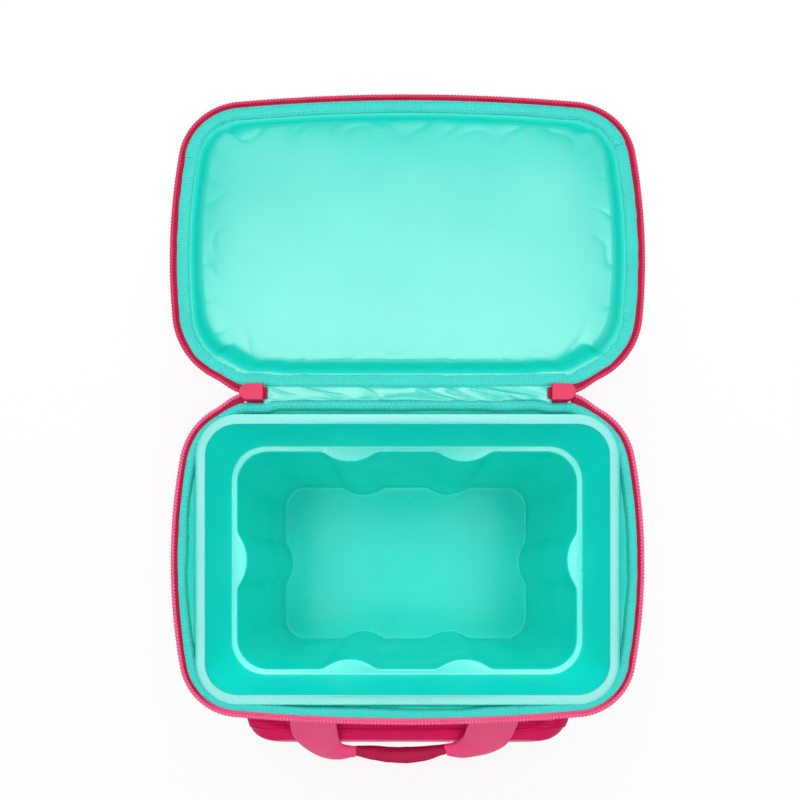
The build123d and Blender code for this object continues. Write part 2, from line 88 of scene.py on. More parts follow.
# ------------------------------------------------------------------ sizes from the frame
RIM_LOW, RIM_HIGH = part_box("body_zip_coil")
TUB_LOW, TUB_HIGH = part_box("liner_tub")
POCKET_LOW, POCKET_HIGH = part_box("pocket_front_panel")
WALL_HALF_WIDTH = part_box("body_outer_wall")[1].x
LID_HALF_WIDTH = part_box("lid_zip_coil")[1].x
HEM_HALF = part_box("body_hinge_hem")[1].x
RIM_HALF_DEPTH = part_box("body_hinge_hem")[1].y
AXIS = Vector(next(j for j in frame["joints"] if j["name"] == "lid_hinge")["pos_m"])
FOLD = AXIS.z                   # the height of the zip line
HINGE_HALF_GAP = AXIS.y - RIM_HALF_DEPTH


def length_prop(name, description, default, low=0.0, high=1.0):
    """A size that a user may change, in metres."""
    return bpy.props.FloatProperty(
        name=name, description=description, default=default, min=low, max=high,
        unit="LENGTH", precision=4,
    )


def colour_prop(name, description, default):
    """A colour that a user may change, given as an sRGB hex value."""
    return bpy.props.FloatVectorProperty(
        name=name, description=description, default=linear(default), size=4, min=0.0, max=1.0,
        subtype="COLOR",
    )


class CarrierSizes(bpy.types.PropertyGroup):
    """Sizes of the carrier's trim and soft forms."""

    stitch_pitch: length_prop("Stitch pitch", "Spacing of the stitches", 3.2 * MM)
    thread_width: length_prop("Thread width", "Width of the sewing thread", 0.55 * MM)
    lid_puff: length_prop("Lid puff", "How far the lid's lining stands proud", 5.0 * MM)
    wall_bulge: length_prop("Wall bulge", "How far the foam swells a wall", 2.6 * MM)
    piping_width: length_prop("Piping width", "Thickness of the pocket's piping", 1.8 * MM)
    webbing_thickness: length_prop("Webbing thickness", "Thickness of a strap", 2.0 * MM)


class CarrierColours(bpy.types.PropertyGroup):
    """Colours of the carrier's materials."""

    cloth: colour_prop("Outer cloth", "Coated polyester of the walls and lid", "#d8195a")
    # lighter than the outer cloth: painted light against the shade under the rim
    pocket: colour_prop("Pocket cloth", "Cloth of the pocket", "#ee1468")
    zip_tape: colour_prop("Zip tape", "Woven tape of the zips", "#aa0438")
    zip_coil: colour_prop("Zip coil", "Nylon coil of the zips", "#fb5c90")
    # the lid's coil: a darker copy of the zip's coil colour, painted shade
    coil_back: colour_prop("Coil shaded", "Coil darkened by painted shade, on the lid", "#e02c60")
    enamel: colour_prop("Slider enamel", "Enamel of sliders and pulls", "#d6004c")
    webbing: colour_prop("Webbing", "Strap of the handles", "#ff4682")
    grip: colour_prop("Grip wrap", "Wrap of the handles' grips", "#c41650")
    binding: colour_prop("Binding", "Grosgrain that binds the rims", "#38d4c9")
    film: colour_prop("Lining film", "Glossy film of the lining", "#10ccba")
    tub: colour_prop("Liner tub", "Moulded plastic of the tub", "#12e6da")
    # pale pink: a painted highlight along the pocket's edge
    piping: colour_prop("Piping", "Piping round the pocket", "#ee8d9c")
    thread: colour_prop("Thread", "Sewing thread of the teal trim", "#5fd6cf")


# ------------------------------------------------------------------ sizes the frame doesn't give
LID_LENGTH = 209.2 * MM
LID_DROOP = math.radians(5.5)
LID_SLACK = 1.2 * MM            # how far the lid's trim stands out at its sides
OUTLINE_STEP = 0.4 * MM         # between the points of a plan outline
WELD = 0.5e-6                   # vertices nearer than this become one
STITCH_SIDES = 6
# Along a stitch: the place as a share of the pitch, the size and the lift as shares of the thread
STITCH_SHAPE = (
    (-0.42, 0.1, -0.5), (-0.3, 0.9, 0.15), (0.0, 1.0, 0.35), (0.3, 0.9, 0.15), (0.42, 0.1, -0.5),
)


# ------------------------------------------------------------------ outlines
def bow_radius(half_chord, bow):
    """The radius of an edge that stands out by bow at its middle."""
    return (half_chord**2 + bow**2) / (2 * bow)


def arc(centre, radius, start, end):
    """Points and outward normals round an arc, angles in radians."""
    angles = np.linspace(start, end, max(3, int(abs(end - start) * radius / OUTLINE_STEP)))
    normals = np.stack([np.cos(angles), np.sin(angles)], -1)
    return np.asarray(centre) + radius * normals, normals


def straight(points, normal):
    """The points of a straight run, with the same outward normal for each."""
    return points, np.tile(normal, (len(points), 1))


class Outline:
    """A closed plan outline, measured by the distance round it from the middle of its rear."""

    def __init__(self, points, normals):
        gaps = np.linalg.norm(np.diff(points, axis=0), axis=1)
        self.s = np.concatenate([[0.0], np.cumsum(gaps)])
        self.length = self.s[-1]
        self.points = points
        self.normals = normals

    def at(self, s):
        """Points and outward normals at distances s."""
        s = np.mod(s, self.length)
        columns = [np.interp(s, self.s, column) for column in (*self.points.T, *self.normals.T)]
        points = np.stack(columns[:2], -1)
        normals = np.stack(columns[2:], -1)
        return points, normals / np.linalg.norm(normals, axis=-1, keepdims=True)

    def where(self, x):
        """The distance round to the rear edge's point at x on the right side."""
        return self.s[np.argmax(self.points[:, 0] >= x)]


def joined(runs, middle=0.0):
    """A closed outline from the runs of its right half, which goes from the rear to the front."""
    points, normals = (
        np.concatenate([run[k][:-1] for run in runs] + [runs[-1][k][-1:]]) for k in (0, 1)
    )
    points = points + [0.0, middle]
    flip = np.array([-1.0, 1.0])
    return Outline(
        np.concatenate([points, points[-2::-1] * flip]),
        np.concatenate([normals, normals[-2::-1] * flip]),
    )


def bowed_outline(half_width, rear, front, side_bow, front_bow, rear_radius, front_radius):
    """A plan outline with a straight rear edge and three edges that bow outwards."""
    side_arc = bow_radius((rear - front) / 2, side_bow)
    front_arc = bow_radius(half_width - side_bow, front_bow)
    side_centre = np.array([half_width - side_arc, (rear + front) / 2])
    front_centre = np.array([0.0, front + front_arc])
    rise = rear - rear_radius - side_centre[1]
    rear_centre = np.array([
        side_centre[0] + math.sqrt((side_arc - rear_radius) ** 2 - rise**2), rear - rear_radius,
    ])
    between = side_centre - front_centre
    span = np.linalg.norm(between)
    reach = front_arc - front_radius
    other = side_arc - front_radius
    along = (span**2 + reach**2 - other**2) / (2 * span)
    across = math.sqrt(reach**2 - along**2)
    unit = between / span
    options = [
        front_centre + along * unit + sign * across * np.array([-unit[1], unit[0]])
        for sign in (-1, 1)
    ]
    front_corner = min(options, key=lambda option: option[1] - option[0])

    def heading(point, centre):
        return math.atan2(point[1] - centre[1], point[0] - centre[0])

    side_start = heading(rear_centre, side_centre)
    side_end = heading(front_corner, side_centre)
    front_start = heading(front_corner, front_centre)
    x = np.linspace(0.0, rear_centre[0], int(rear_centre[0] / OUTLINE_STEP))
    return joined([
        straight(np.stack([x, np.full_like(x, rear)], -1), [0.0, 1.0]),
        arc(rear_centre, rear_radius, math.pi / 2, side_start),
        arc(side_centre, side_arc, side_start, side_end),
        arc(front_corner, front_radius, side_end, front_start),
        arc(front_centre, front_arc, front_start, -math.pi / 2),
    ])


def rounded_outline(half_width, half_depth, radius, middle=0.0):
    """A rounded rectangle as an outline, with its centre at middle on the second axis."""
    top = np.linspace(0.0, half_width - radius, 60)
    side = np.linspace(half_depth - radius, radius - half_depth, 80)
    corner = np.array([half_width - radius, half_depth - radius])
    return joined([
        straight(np.stack([top, np.full_like(top, half_depth)], -1), [0.0, 1.0]),
        arc(corner, radius, math.pi / 2, 0.0),
        straight(np.stack([np.full_like(side, half_width), side], -1), [1.0, 0.0]),
        arc(corner * [1, -1], radius, 0.0, -math.pi / 2),
        straight(np.stack([top[::-1], np.full_like(top, -half_depth)], -1), [0.0, -1.0]),
    ], middle)


RIM = bowed_outline(
    RIM_HIGH.x, RIM_HALF_DEPTH, RIM_LOW.y,
    side_bow=15 * MM, front_bow=8 * MM, rear_radius=46 * MM, front_radius=40 * MM,
)
LID = bowed_outline(
    LID_HALF_WIDTH + LID_SLACK, -HINGE_HALF_GAP, -HINGE_HALF_GAP - LID_LENGTH,
    side_bow=12 * MM, front_bow=9 * MM, rear_radius=54 * MM, front_radius=44 * MM,
)


def on_body(x, y, height):
    """Points of the bag, with heights measured from the zip line."""
    return np.stack([x, y, FOLD + height], -1)


def on_lid(x, y, height):
    """Points of the lid as it lies open: y as when it is closed, heights out of its lining."""
    out = -y
    return np.stack([
        x,
        AXIS.y + out * math.cos(LID_DROOP) + height * math.sin(LID_DROOP),
        AXIS.z - out * math.sin(LID_DROOP) + height * math.cos(LID_DROOP),
    ], -1)


def rings(outline, place, s, inset, height):
    """Points of a band round an outline: a row for each distance s, a column for each inset."""
    points, normals = outline.at(s)
    inset, height = np.broadcast_arrays(inset, height)
    inset = np.broadcast_to(inset, (len(s), inset.shape[-1]))
    height = np.broadcast_to(height, inset.shape)
    x = points[:, :1] - normals[:, :1] * inset
    y = points[:, 1:] - normals[:, 1:] * inset
    return place(x, y, height)


# ------------------------------------------------------------------ forms of cloth
def smoothstep(value, low, high):
    """0 below low, 1 above high and smooth between."""
    t = np.clip((value - low) / (high - low), 0.0, 1.0)
    return t * t * (3 - 2 * t)


def waves(points, wavelength, seed, count=24, stretch=(1.0, 1.0, 1.0)):
    """Smooth seeded noise of about one unit at points, with features of a wavelength."""
    draw = np.random.default_rng(seed)
    headings = draw.normal(size=(count, 3))
    headings /= np.linalg.norm(headings, axis=1, keepdims=True)
    counts = 2 * math.pi / (wavelength * draw.uniform(0.7, 1.5, count))
    phases = draw.uniform(0, 2 * math.pi, count)
    field = (np.asarray(points) / stretch) @ (headings * counts[:, None]).T + phases
    return np.sin(field).sum(-1) / math.sqrt(count)


def creases(points, wavelength, seed, stretch=(1.0, 1.0, 1.0)):
    """Sharp-crested wrinkles from 0 to 1 at points."""
    return np.exp(-3.5 * np.abs(waves(points, wavelength, seed, 16, stretch)))


def grid_normals(points):
    """Unit normals of a grid of points."""
    along = np.gradient(points, axis=0)
    across = np.gradient(points, axis=1)
    normals = np.cross(along, across)
    return normals / np.maximum(np.linalg.norm(normals, axis=-1, keepdims=True), 1e-12)


def smooth_curve(points, count):
    """A smooth line through a few points, with evenly spaced parameters."""
    points = np.asarray(points, float)
    padded = np.concatenate([[2 * points[0] - points[1]], points, [2 * points[-1] - points[-2]]])
    t = np.linspace(0, len(points) - 1, count)
    i = np.minimum(t.astype(int), len(points) - 2)
    f = (t - i)[:, None]
    a, b, c, d = padded[i], padded[i + 1], padded[i + 2], padded[i + 3]
    return 0.5 * (
        2 * b + (c - a) * f + (2 * a - 5 * b + 4 * c - d) * f**2 + (3 * b - a - 3 * c + d) * f**3
    )


# ------------------------------------------------------------------ mesh making
def spread(x, y, z):
    """Points from coordinates that are single numbers, rows, columns or whole grids."""
    return np.stack(np.broadcast_arrays(x, y, z), -1).astype(float)


def steps(points, axis, wrap):
    """Mean distances from the first row along a grid's axis."""
    ahead = np.roll(points, -1, axis) - points
    size = np.linalg.norm(ahead, axis=-1).mean(1 - axis)
    return np.concatenate([[0.0], np.cumsum(size if wrap else size[:-1])])


def grid_object(name, points, material, wrap_rows=False, wrap_columns=False, caps=False):
    """An object whose mesh is quads over a grid of points, with texture distances in metres."""
    rows, columns = points.shape[:2]
    row = np.arange(rows if wrap_rows else rows - 1)[:, None]
    column = np.arange(columns if wrap_columns else columns - 1)[None, :]
    corners = ((0, 0), (0, 1), (1, 1), (1, 0))
    quads = np.stack([
        ((row + a) % rows) * columns + (column + b) % columns for a, b in corners
    ], -1).reshape(-1, 4)
    u = steps(points, 0, wrap_rows)
    v = steps(points, 1, wrap_columns)
    texture = np.stack([
        np.stack(np.broadcast_arrays(u[row + a], v[column + b]), -1) for a, b in corners
    ], 2).reshape(-1, 2)
    faces = quads.tolist()
    if caps:
        last = (rows - 1) * columns
        faces.append(list(range(columns)))
        faces.append([last + k for k in range(columns)][::-1])
        texture = np.concatenate([texture, np.zeros((2 * columns, 2))])
    return mesh_object(name, points.reshape(-1, 3), faces, material, texture)


def mesh_object(name, vertices, faces, material, texture=None, sharp=50):
    """A smooth-shaded object from vertices and faces, its normals turned outwards."""
    mesh = bpy.data.meshes.new(name)
    mesh.from_pydata(np.asarray(vertices).tolist(), [], faces)
    if texture is not None:
        layer = mesh.uv_layers.new(name="metres")
        layer.data.foreach_set("uv", np.asarray(texture, np.float32).ravel())
    shell = bmesh.new()
    shell.from_mesh(mesh)
    bmesh.ops.remove_doubles(shell, verts=shell.verts, dist=WELD)
    bmesh.ops.recalc_face_normals(shell, faces=shell.faces)
    shell.to_mesh(mesh)
    shell.free()
    mesh.polygons.foreach_set("use_smooth", [True] * len(mesh.polygons))
    mesh.set_sharp_from_angle(angle=math.radians(sharp))
    mesh.materials.append(material)
    made = bpy.data.objects.new(name, mesh)
    bpy.context.scene.collection.objects.link(made)
    return made


def sheet_object(name, points, thickness, material, wrap_rows=False, up=None):
    """A sheet of cloth over a grid of points, given its thickness on the side away from up."""
    normals = grid_normals(points) if up is None else np.asarray(up, float)
    ring = np.concatenate([points, (points - normals * thickness)[:, ::-1]], axis=1)
    return grid_object(
        name, ring, material, wrap_rows=wrap_rows, wrap_columns=True, caps=not wrap_rows
    )


def circles(side, rise, sides):
    """Unit circles round the points of a path, in the planes of two rows of directions."""
    turn = np.linspace(0, 2 * math.pi, sides, endpoint=False)[None, :, None]
    return np.cos(turn) * side[:, None] + np.sin(turn) * rise[:, None]


def tube(name, path, radius, material, sides=10, closed=False):
    """A round cord along a path of points."""
    path = np.asarray(path, float)
    ahead = np.roll(path, -1, 0) - np.roll(path, 1, 0)
    if not closed:
        ahead[0] = path[1] - path[0]
        ahead[-1] = path[-1] - path[-2]
    ahead /= np.linalg.norm(ahead, axis=1, keepdims=True)
    lead = np.array([0.31, 0.17, 0.93])
    side = np.cross(ahead, lead)
    side /= np.linalg.norm(side, axis=1, keepdims=True)
    rise = np.cross(side, ahead)
    points = path[:, None] + radius * circles(side, rise, sides)
    return grid_object(
        name, points, material, wrap_rows=closed, wrap_columns=True, caps=not closed
    )


def stitch_points(path, up, pitch, width):
    """Vertices and faces of a row of stitches laid along a path."""
    gaps = np.linalg.norm(np.diff(path, axis=0), axis=1)
    s = np.concatenate([[0.0], np.cumsum(gaps)])
    count = max(1, int(s[-1] / pitch))
    centres = (np.arange(count) + 0.5) * s[-1] / count

    def along(rows, at):
        return np.stack([np.interp(at, s, column) for column in rows.T], -1)

    vertices = []
    for share, size, lift in STITCH_SHAPE:
        at = centres + share * pitch
        point = along(path, at)
        ahead = along(path, at + 0.3 * pitch) - point
        ahead /= np.maximum(np.linalg.norm(ahead, axis=1, keepdims=True), 1e-9)
        rise = along(up, at)
        rise /= np.linalg.norm(rise, axis=1, keepdims=True)
        point = point + rise * lift * width
        circle = circles(np.cross(ahead, rise), rise, STITCH_SIDES)
        vertices.append(point[:, None] + circle * size * width / 2)
    vertices = np.stack(vertices, 1)
    corner = np.arange(vertices.size // 3).reshape(vertices.shape[:3])
    after = np.roll(corner, -1, 2)
    quads = np.stack([corner[:, :-1], after[:, :-1], after[:, 1:], corner[:, 1:]], -1)
    return vertices.reshape(-1, 3), quads.reshape(-1, 4)


def stitches(name, rows, material, sizes):
    """One object that holds several rows of stitches, each a path and its up directions."""
    vertices, faces = [], []
    offset = 0
    for path, up in rows:
        points, quads = stitch_points(path, up, sizes.stitch_pitch, sizes.thread_width)
        vertices.append(points)
        faces.append(quads + offset)
        offset += len(points)
    return mesh_object(name, np.concatenate(vertices), np.concatenate(faces).tolist(), material)


def seam_rows(points, outward, columns):
    """Closed rows of stitches along some columns of a grid that runs round the bag."""
    points, outward = (
        np.concatenate([grid, grid[:1]]) for grid in (points, np.broadcast_to(outward, points.shape))
    )
    return [(points[:, column], outward[:, column]) for column in columns]


def dress(piece, body, slot, *nodes):
    """Make a piece ride on a body and stand for nodes, whose parts it hides; slot is not used."""
    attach(piece, body)
    if nodes:
        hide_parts(*nodes)
    return piece


# ------------------------------------------------------------------ materials
WAVE_TURN = math.pi / 10        # a wave texture of scale 1 repeats every this many metres
PATTERN = 0.0                   # stands for the material's own pattern in place of a patch size


def node(tree, kind, inputs=None, **settings):
    """Add a node: settings are its properties, inputs its values or the sockets that feed them."""
    made = tree.nodes.new(kind)
    for key, value in settings.items():
        setattr(made, key, value)
    for key, value in (inputs or {}).items():
        if isinstance(value, bpy.types.NodeSocket):
            tree.links.new(value, made.inputs[key])
        else:
            made.inputs[key].default_value = value
    return made


def shade(colour, factor):
    """A colour made lighter or darker."""
    return tuple(min(1.0, c * factor) for c in colour[:3]) + (1.0,)


def surface(name, colour, tone, relief, finish, pattern=None, gap=None):
    """A material whose colour varies in patches, with bumps that lie over one another.

    tone is a patch size in metres, its detail, and the factors of the darkest and the lightest
    colour.  Each bump of relief, the lowest first, is a patch size, its detail, its depth in
    metres and its strength.  finish holds the shader's own values.  pattern adds the nodes of
    a weave, rib or grain and gives its height, and gap is how dark the colour is at its lows.
    """
    material = bpy.data.materials.new(name)
    material.use_nodes = True
    material.diffuse_color = colour
    tree = material.node_tree
    shader = tree.nodes["Principled BSDF"]
    for key, value in finish.items():
        shader.inputs[key].default_value = value
    place = node(tree, "ShaderNodeTexCoord")
    raised = pattern(tree, place) if pattern else None
    heights = [
        raised if size == PATTERN else node(
            tree, "ShaderNodeTexNoise",
            {"Vector": place.outputs["Object"], "Scale": 1 / size, "Detail": detail},
        ).outputs["Fac"]
        for size, detail, *_ in (tone, *relief)
    ]
    dark, light = tone[2:]
    body = node(
        tree, "ShaderNodeMix",
        {0: heights[0], 6: shade(colour, dark), 7: shade(colour, light)}, data_type="RGBA",
    )
    if gap is not None:
        body = node(
            tree, "ShaderNodeMix", {0: raised, 6: shade(colour, gap), 7: body.outputs[2]},
            data_type="RGBA",
        )
    tree.links.new(body.outputs[2], shader.inputs["Base Color"])
    below = {}
    for height, (_, _, depth, strength) in zip(heights[1:], relief):
        bump = node(
            tree, "ShaderNodeBump",
            {"Height": height, "Distance": depth, "Strength": strength, **below},
        )
        below = {"Normal": bump.outputs["Normal"]}
    tree.links.new(below["Normal"], shader.inputs["Normal"])
    return material


def woven_cloth(name, colour, pitch, roughness, sheen, depth, variation=0.18):
    """A plain-woven cloth with yarns at a pitch, lighter and darker in patches, and darker between
    yarns.
    """
    def weave(tree, place):
        warp, weft = (
            node(
                tree, "ShaderNodeTexWave",
                {"Vector": place.outputs["UV"], "Scale": WAVE_TURN / pitch}, bands_direction=way,
            ).outputs["Fac"]
            for way in "XY"
        )
        return node(tree, "ShaderNodeMath", {0: warp, 1: weft}, operation="MULTIPLY").outputs[0]

    return surface(
        name, colour,
        tone=(45 * MM, 3.0, 1.15 - variation, 1.15 + variation),
        relief=((9 * MM, 3.0, 0.6 * MM, 0.5), (PATTERN, 0.0, depth, 0.8)),
        finish={
            "Roughness": roughness, "Specular IOR Level": 0.2, "Sheen Weight": sheen,
            "Sheen Roughness": 0.4, "Sheen Tint": colour,
        },
        pattern=weave, gap=0.8,
    )


def polyester_600d(colour, name):
    """Polyurethane-coated 600-denier polyester, plain-woven: a dull cloth with a fine grid.

    Its yarns are 0.45 mm apart; they are drawn at 0.9 mm so that they show.
    """
    return woven_cloth(name, colour, 0.9 * MM, 0.62, 0.08, 0.12 * MM)


def grip_wrap(colour):
    """Polyester wrap of a grip, plain-woven from stout yarn: dull, a little coarser than the walls.

    Its yarns are 0.6 mm apart; they are drawn at 1.1 mm so that they show.
    """
    return woven_cloth("polyester grip wrap", colour, 1.1 * MM, 0.58, 0.08, 0.14 * MM)


def cut_piping(colour):
    """Bias-cut polyester over a cord: fine woven cloth, with a soft bloom where it turns.

    Its yarns are 0.4 mm apart; they are drawn at 0.8 mm so that they show.
    """
    return woven_cloth("bias-cut piping", colour, 0.8 * MM, 0.5, 0.3, 0.1 * MM)


def zip_tape_weave(colour, lit):
    """Polyester zip tape, woven flat, with a painted highlight: its colour turns pale towards the bag's
    front.

    Its yarns are 0.4 mm apart; they are drawn at 0.8 mm so that they show.
    """
    material = woven_cloth("polyester zip tape", colour, 0.8 * MM, 0.6, 0.05, 0.1 * MM, 0.1)
    tree = material.node_tree
    place = node(tree, "ShaderNodeTexCoord").outputs["Object"]
    # painted highlight: nearer the bag's front the tape's colour is mixed towards a pale pink
    reach = node(tree, "ShaderNodeSeparateXYZ", {0: place}).outputs["Y"]
    highlight_share = node(
        tree, "ShaderNodeMapRange",
        {"Value": reach, "From Min": 22 * MM - RIM_HALF_DEPTH, "From Max": 4 * MM - RIM_HALF_DEPTH},
    ).outputs[0]
    base = tree.nodes["Principled BSDF"].inputs["Base Color"]
    painted_highlight = node(
        tree, "ShaderNodeMix", {0: highlight_share, 6: base.links[0].from_socket, 7: lit},
        data_type="RGBA",
    )
    tree.links.new(painted_highlight.outputs[2], base)
    return material


def grosgrain(colour):
    """Polypropylene grosgrain tape: stout ribs that run across it, satin on their crests.

    The ribs are 0.7 mm apart; they are drawn at 1.1 mm so that they show.
    """
    def ribs(tree, place):
        return node(
            tree, "ShaderNodeTexWave",
            {"Vector": place.outputs["UV"], "Scale": WAVE_TURN / (1.1 * MM), "Distortion": 0.4},
            bands_direction="X",
        ).outputs["Fac"]

    return surface(
        "polypropylene grosgrain", colour,
        tone=(22 * MM, 3.0, 0.96, 1.24),
        relief=((6 * MM, 3.0, 0.8 * MM, 0.5), (PATTERN, 0.0, 0.18 * MM, 0.9)),
        finish={
            "Roughness": 0.5, "Specular IOR Level": 0.3, "Sheen Weight": 0.1,
            "Sheen Tint": colour,
        },
        pattern=ribs, gap=0.8,
    )


def satin_twill(colour):
    """Nylon twill webbing: diagonal ribs of bright yarn, satin, with woven selvedges.

    The twill lines are 0.9 mm apart; they are drawn at 1.5 mm so that they show.
    """
    def twill(tree, place):
        turned = node(
            tree, "ShaderNodeMapping",
            {"Vector": place.outputs["UV"], "Rotation": (0.0, 0.0, math.radians(52))},
        ).outputs[0]
        return node(
            tree, "ShaderNodeTexWave",
            {"Vector": turned, "Scale": WAVE_TURN / (1.5 * MM), "Distortion": 0.5,
             "Detail": 1.0, "Detail Scale": 2.0},
            bands_direction="X",
        ).outputs["Fac"]

    return surface(
        "nylon twill webbing", colour,
        tone=(18 * MM, 3.0, 0.95, 1.2),
        relief=((PATTERN, 0.0, 0.2 * MM, 0.8),),
        finish={
            "Roughness": 0.42, "Specular IOR Level": 0.35, "Sheen Weight": 0.15,
            "Sheen Tint": colour, "Anisotropic": 0.4,
        },
        pattern=twill, gap=0.92,
    )


def peva_film(colour, name, gloss_level, coat, wrinkle, depth):
    """Calendered PEVA film: a smooth, glossy skin that shows every small buckle."""
    return surface(
        name, colour,
        tone=(60 * MM, 3.0, 0.92, 1.08),
        relief=((wrinkle, 1.0, depth, 0.6), (2.4 * MM, 1.0, 0.03 * MM, 0.3)),
        finish={
            "Roughness": 0.24, "IOR": 1.5, "Specular IOR Level": gloss_level,
            "Coat Weight": coat, "Coat Roughness": 0.2,
        },
    )


def drawn_film(colour):
    """PEVA film over a pad: glossy where it is full, and matt where it is drawn over the edge."""
    material = peva_film(colour, "PEVA film, stretched", 0.75, 0.5, 34 * MM, 0.5 * MM)
    tree = material.node_tree
    # the matt band is also 3% darker than the film: painted shade along the pad's edge
    matt = node(
        tree, "ShaderNodeBsdfPrincipled",
        {"Base Color": shade(colour, 0.97), "Roughness": 0.6, "Specular IOR Level": 0.05},
    ).outputs[0]
    tight = node(tree, "ShaderNodeAttribute", attribute_name="drawn_tight_shaded").outputs["Fac"]
    both = node(
        tree, "ShaderNodeMixShader",
        {0: tight, 1: tree.nodes["Principled BSDF"].outputs[0], 2: matt},
    )
    tree.links.new(both.outputs[0], tree.nodes["Material Output"].inputs["Surface"])
    return material


def moulded_polypropylene(colour, name, gloss_low, gloss_high, gloss_level, coat):
    """Injection-moulded polypropylene: waxy, with faint sink marks and soft scuffs.

    The mould is polished at the rim, ledge and floor, and spark-eroded, so satin, at the walls.
    """
    material = surface(
        name, colour,
        tone=(90 * MM, 3.0, 0.96, 1.05),
        relief=((60 * MM, 0.0, 0.4 * MM, 0.4), (9 * MM, 0.0, 0.02 * MM, 0.2)),
        finish={
            "IOR": 1.49, "Specular IOR Level": gloss_level, "Coat Weight": coat,
            "Coat Roughness": 0.26,
        },
    )
    tree = material.node_tree
    place = node(tree, "ShaderNodeTexCoord").outputs["Object"]
    scuffs = node(
        tree, "ShaderNodeTexNoise", {"Vector": place, "Scale": 1 / (30 * MM), "Detail": 2.0}
    ).outputs["Fac"]
    gloss = node(
        tree, "ShaderNodeMapRange",
        {"Value": scuffs, "From Min": 0.3, "From Max": 0.75, "To Min": gloss_low,
         "To Max": gloss_high},
    ).outputs[0]
    tree.links.new(gloss, tree.nodes["Principled BSDF"].inputs["Roughness"])
    return material


def nylon_coil(colour, name):
    """Dyed nylon monofilament, wound into a coil: smooth, with a shadow between its turns."""
    def turns(tree, place):
        return node(
            tree, "ShaderNodeTexWave",
            {"Vector": place.outputs["UV"], "Scale": WAVE_TURN / COIL_PITCH},
            bands_direction="X",
        ).outputs["Fac"]

    return surface(
        name, colour,
        tone=(12 * MM, 3.0, 0.95, 1.2),
        relief=((1.0 * MM, 3.0, 0.05 * MM, 0.5),),
        finish={"Roughness": 0.38, "Specular IOR Level": 0.3},
        pattern=turns, gap=0.7,
    )


def baked_enamel(colour):
    """Baked enamel on a die-cast slider: thick glossy paint, rounded over the edges."""
    return surface(
        "baked enamel", colour,
        tone=(5 * MM, 4.0, 0.9, 1.08),
        relief=((2.5 * MM, 3.0, 0.06 * MM, 0.4),),
        finish={
            "Roughness": 0.36, "Specular IOR Level": 0.3, "Coat Weight": 0.15,
            "Coat Roughness": 0.12,
        },
    )


def spun_thread(colour):
    """Spun polyester sewing thread: two plies that twist along each stitch.

    The plies are 0.4 mm apart; they are drawn at 0.8 mm so that they show.
    """
    def plies(tree, place):
        return node(
            tree, "ShaderNodeTexWave",
            {"Vector": place.outputs["Object"], "Scale": WAVE_TURN / (0.8 * MM)},
            bands_direction="DIAGONAL",
        ).outputs["Fac"]

    return surface(
        "spun polyester thread", colour,
        tone=(PATTERN, 0.0, 0.8, 1.1),
        relief=((PATTERN, 0.0, 0.06 * MM, 0.6),),
        finish={"Roughness": 0.55},
        pattern=plies,
    )


def polyethylene_foam(colour):
    """Expanded polyethylene foam: dull, with small closed cells."""
    def cells(tree, place):
        return node(
            tree, "ShaderNodeTexVoronoi",
            {"Vector": place.outputs["Object"], "Scale": 1 / (1.6 * MM)},
        ).outputs["Distance"]

    return surface(
        "expanded polyethylene foam", colour,
        tone=(PATTERN, 0.0, 0.9, 1.0),
        relief=((PATTERN, 0.0, 0.3 * MM, 0.6),),
        finish={"Roughness": 0.85},
        pattern=cells,
    )


def pressed_board(colour):
    """Pressed fibreboard: a matt sheet with short mixed fibres."""
    return surface(
        "pressed fibreboard", colour,
        tone=(2.2 * MM, 8.0, 0.75, 1.15),
        relief=((2.2 * MM, 8.0, 0.1 * MM, 0.6),),
        finish={"Roughness": 0.9},
    )


MATERIALS = {}


def make_materials(colours):
    """Make every material of the carrier, kept by its short name."""
    film, tub = colours.film, colours.tub
    MATERIALS.update(
        cloth=polyester_600d(colours.cloth, "coated 600-denier polyester"),
        # the pocket's lighter cloth is painted light against the rim's shade
        pocket=polyester_600d(colours.pocket, "coated 600-denier polyester, pocket"),
        # the tape's second colour is its painted highlight at the front
        zip_tape=zip_tape_weave(colours.zip_tape, shade(colours.zip_coil, 0.9)),
        coil=nylon_coil(colours.zip_coil, "nylon coil"),
        # the lid's coil is a darker copy of the same nylon: painted shade
        coil_back=nylon_coil(colours.coil_back, "nylon coil, painted shade"),
        enamel=baked_enamel(colours.enamel),
        webbing=satin_twill(colours.webbing),
        grip=grip_wrap(colours.grip),
        binding=grosgrain(colours.binding),
        film=drawn_film(film),
        crumpled=peva_film(film, "PEVA film, crumpled", 0.8, 0.6, 9 * MM, 0.8 * MM),
        # the body's lining is a darker copy of the lid's film: painted shade
        lining=peva_film(shade(film, 0.95), "PEVA film, slack", 0.25, 0.0, 16 * MM, 1.0 * MM),
        # One plastic in four shades for how each part is lit: painted shade darkens the rim, painted
        # light lightens the ledge and walls
        tub=moulded_polypropylene(
            shade(tub, 0.68), "moulded polypropylene, polished", 0.2, 0.32, 1.0, 1.0
        ),
        tub_ledge=moulded_polypropylene(
            shade(tub, 0.98), "moulded polypropylene, ledge, painted light", 0.22, 0.3, 1.0, 1.0
        ),
        tub_floor=moulded_polypropylene(tub, "moulded polypropylene, fine", 0.26, 0.42, 0.4, 0.25),
        tub_wall=moulded_polypropylene(
            shade(tub, 1.1), "moulded polypropylene, satin", 0.36, 0.5, 0.2, 0.0
        ),
        # the piping's pale colour is a painted highlight
        piping=cut_piping(colours.piping),
        thread=spun_thread(colours.thread),
        pink_thread=spun_thread(shade(colours.zip_coil, 0.9)),
        foam=polyethylene_foam(linear("#e9ecea")),
        board=pressed_board(linear("#8b7a63")),
    )


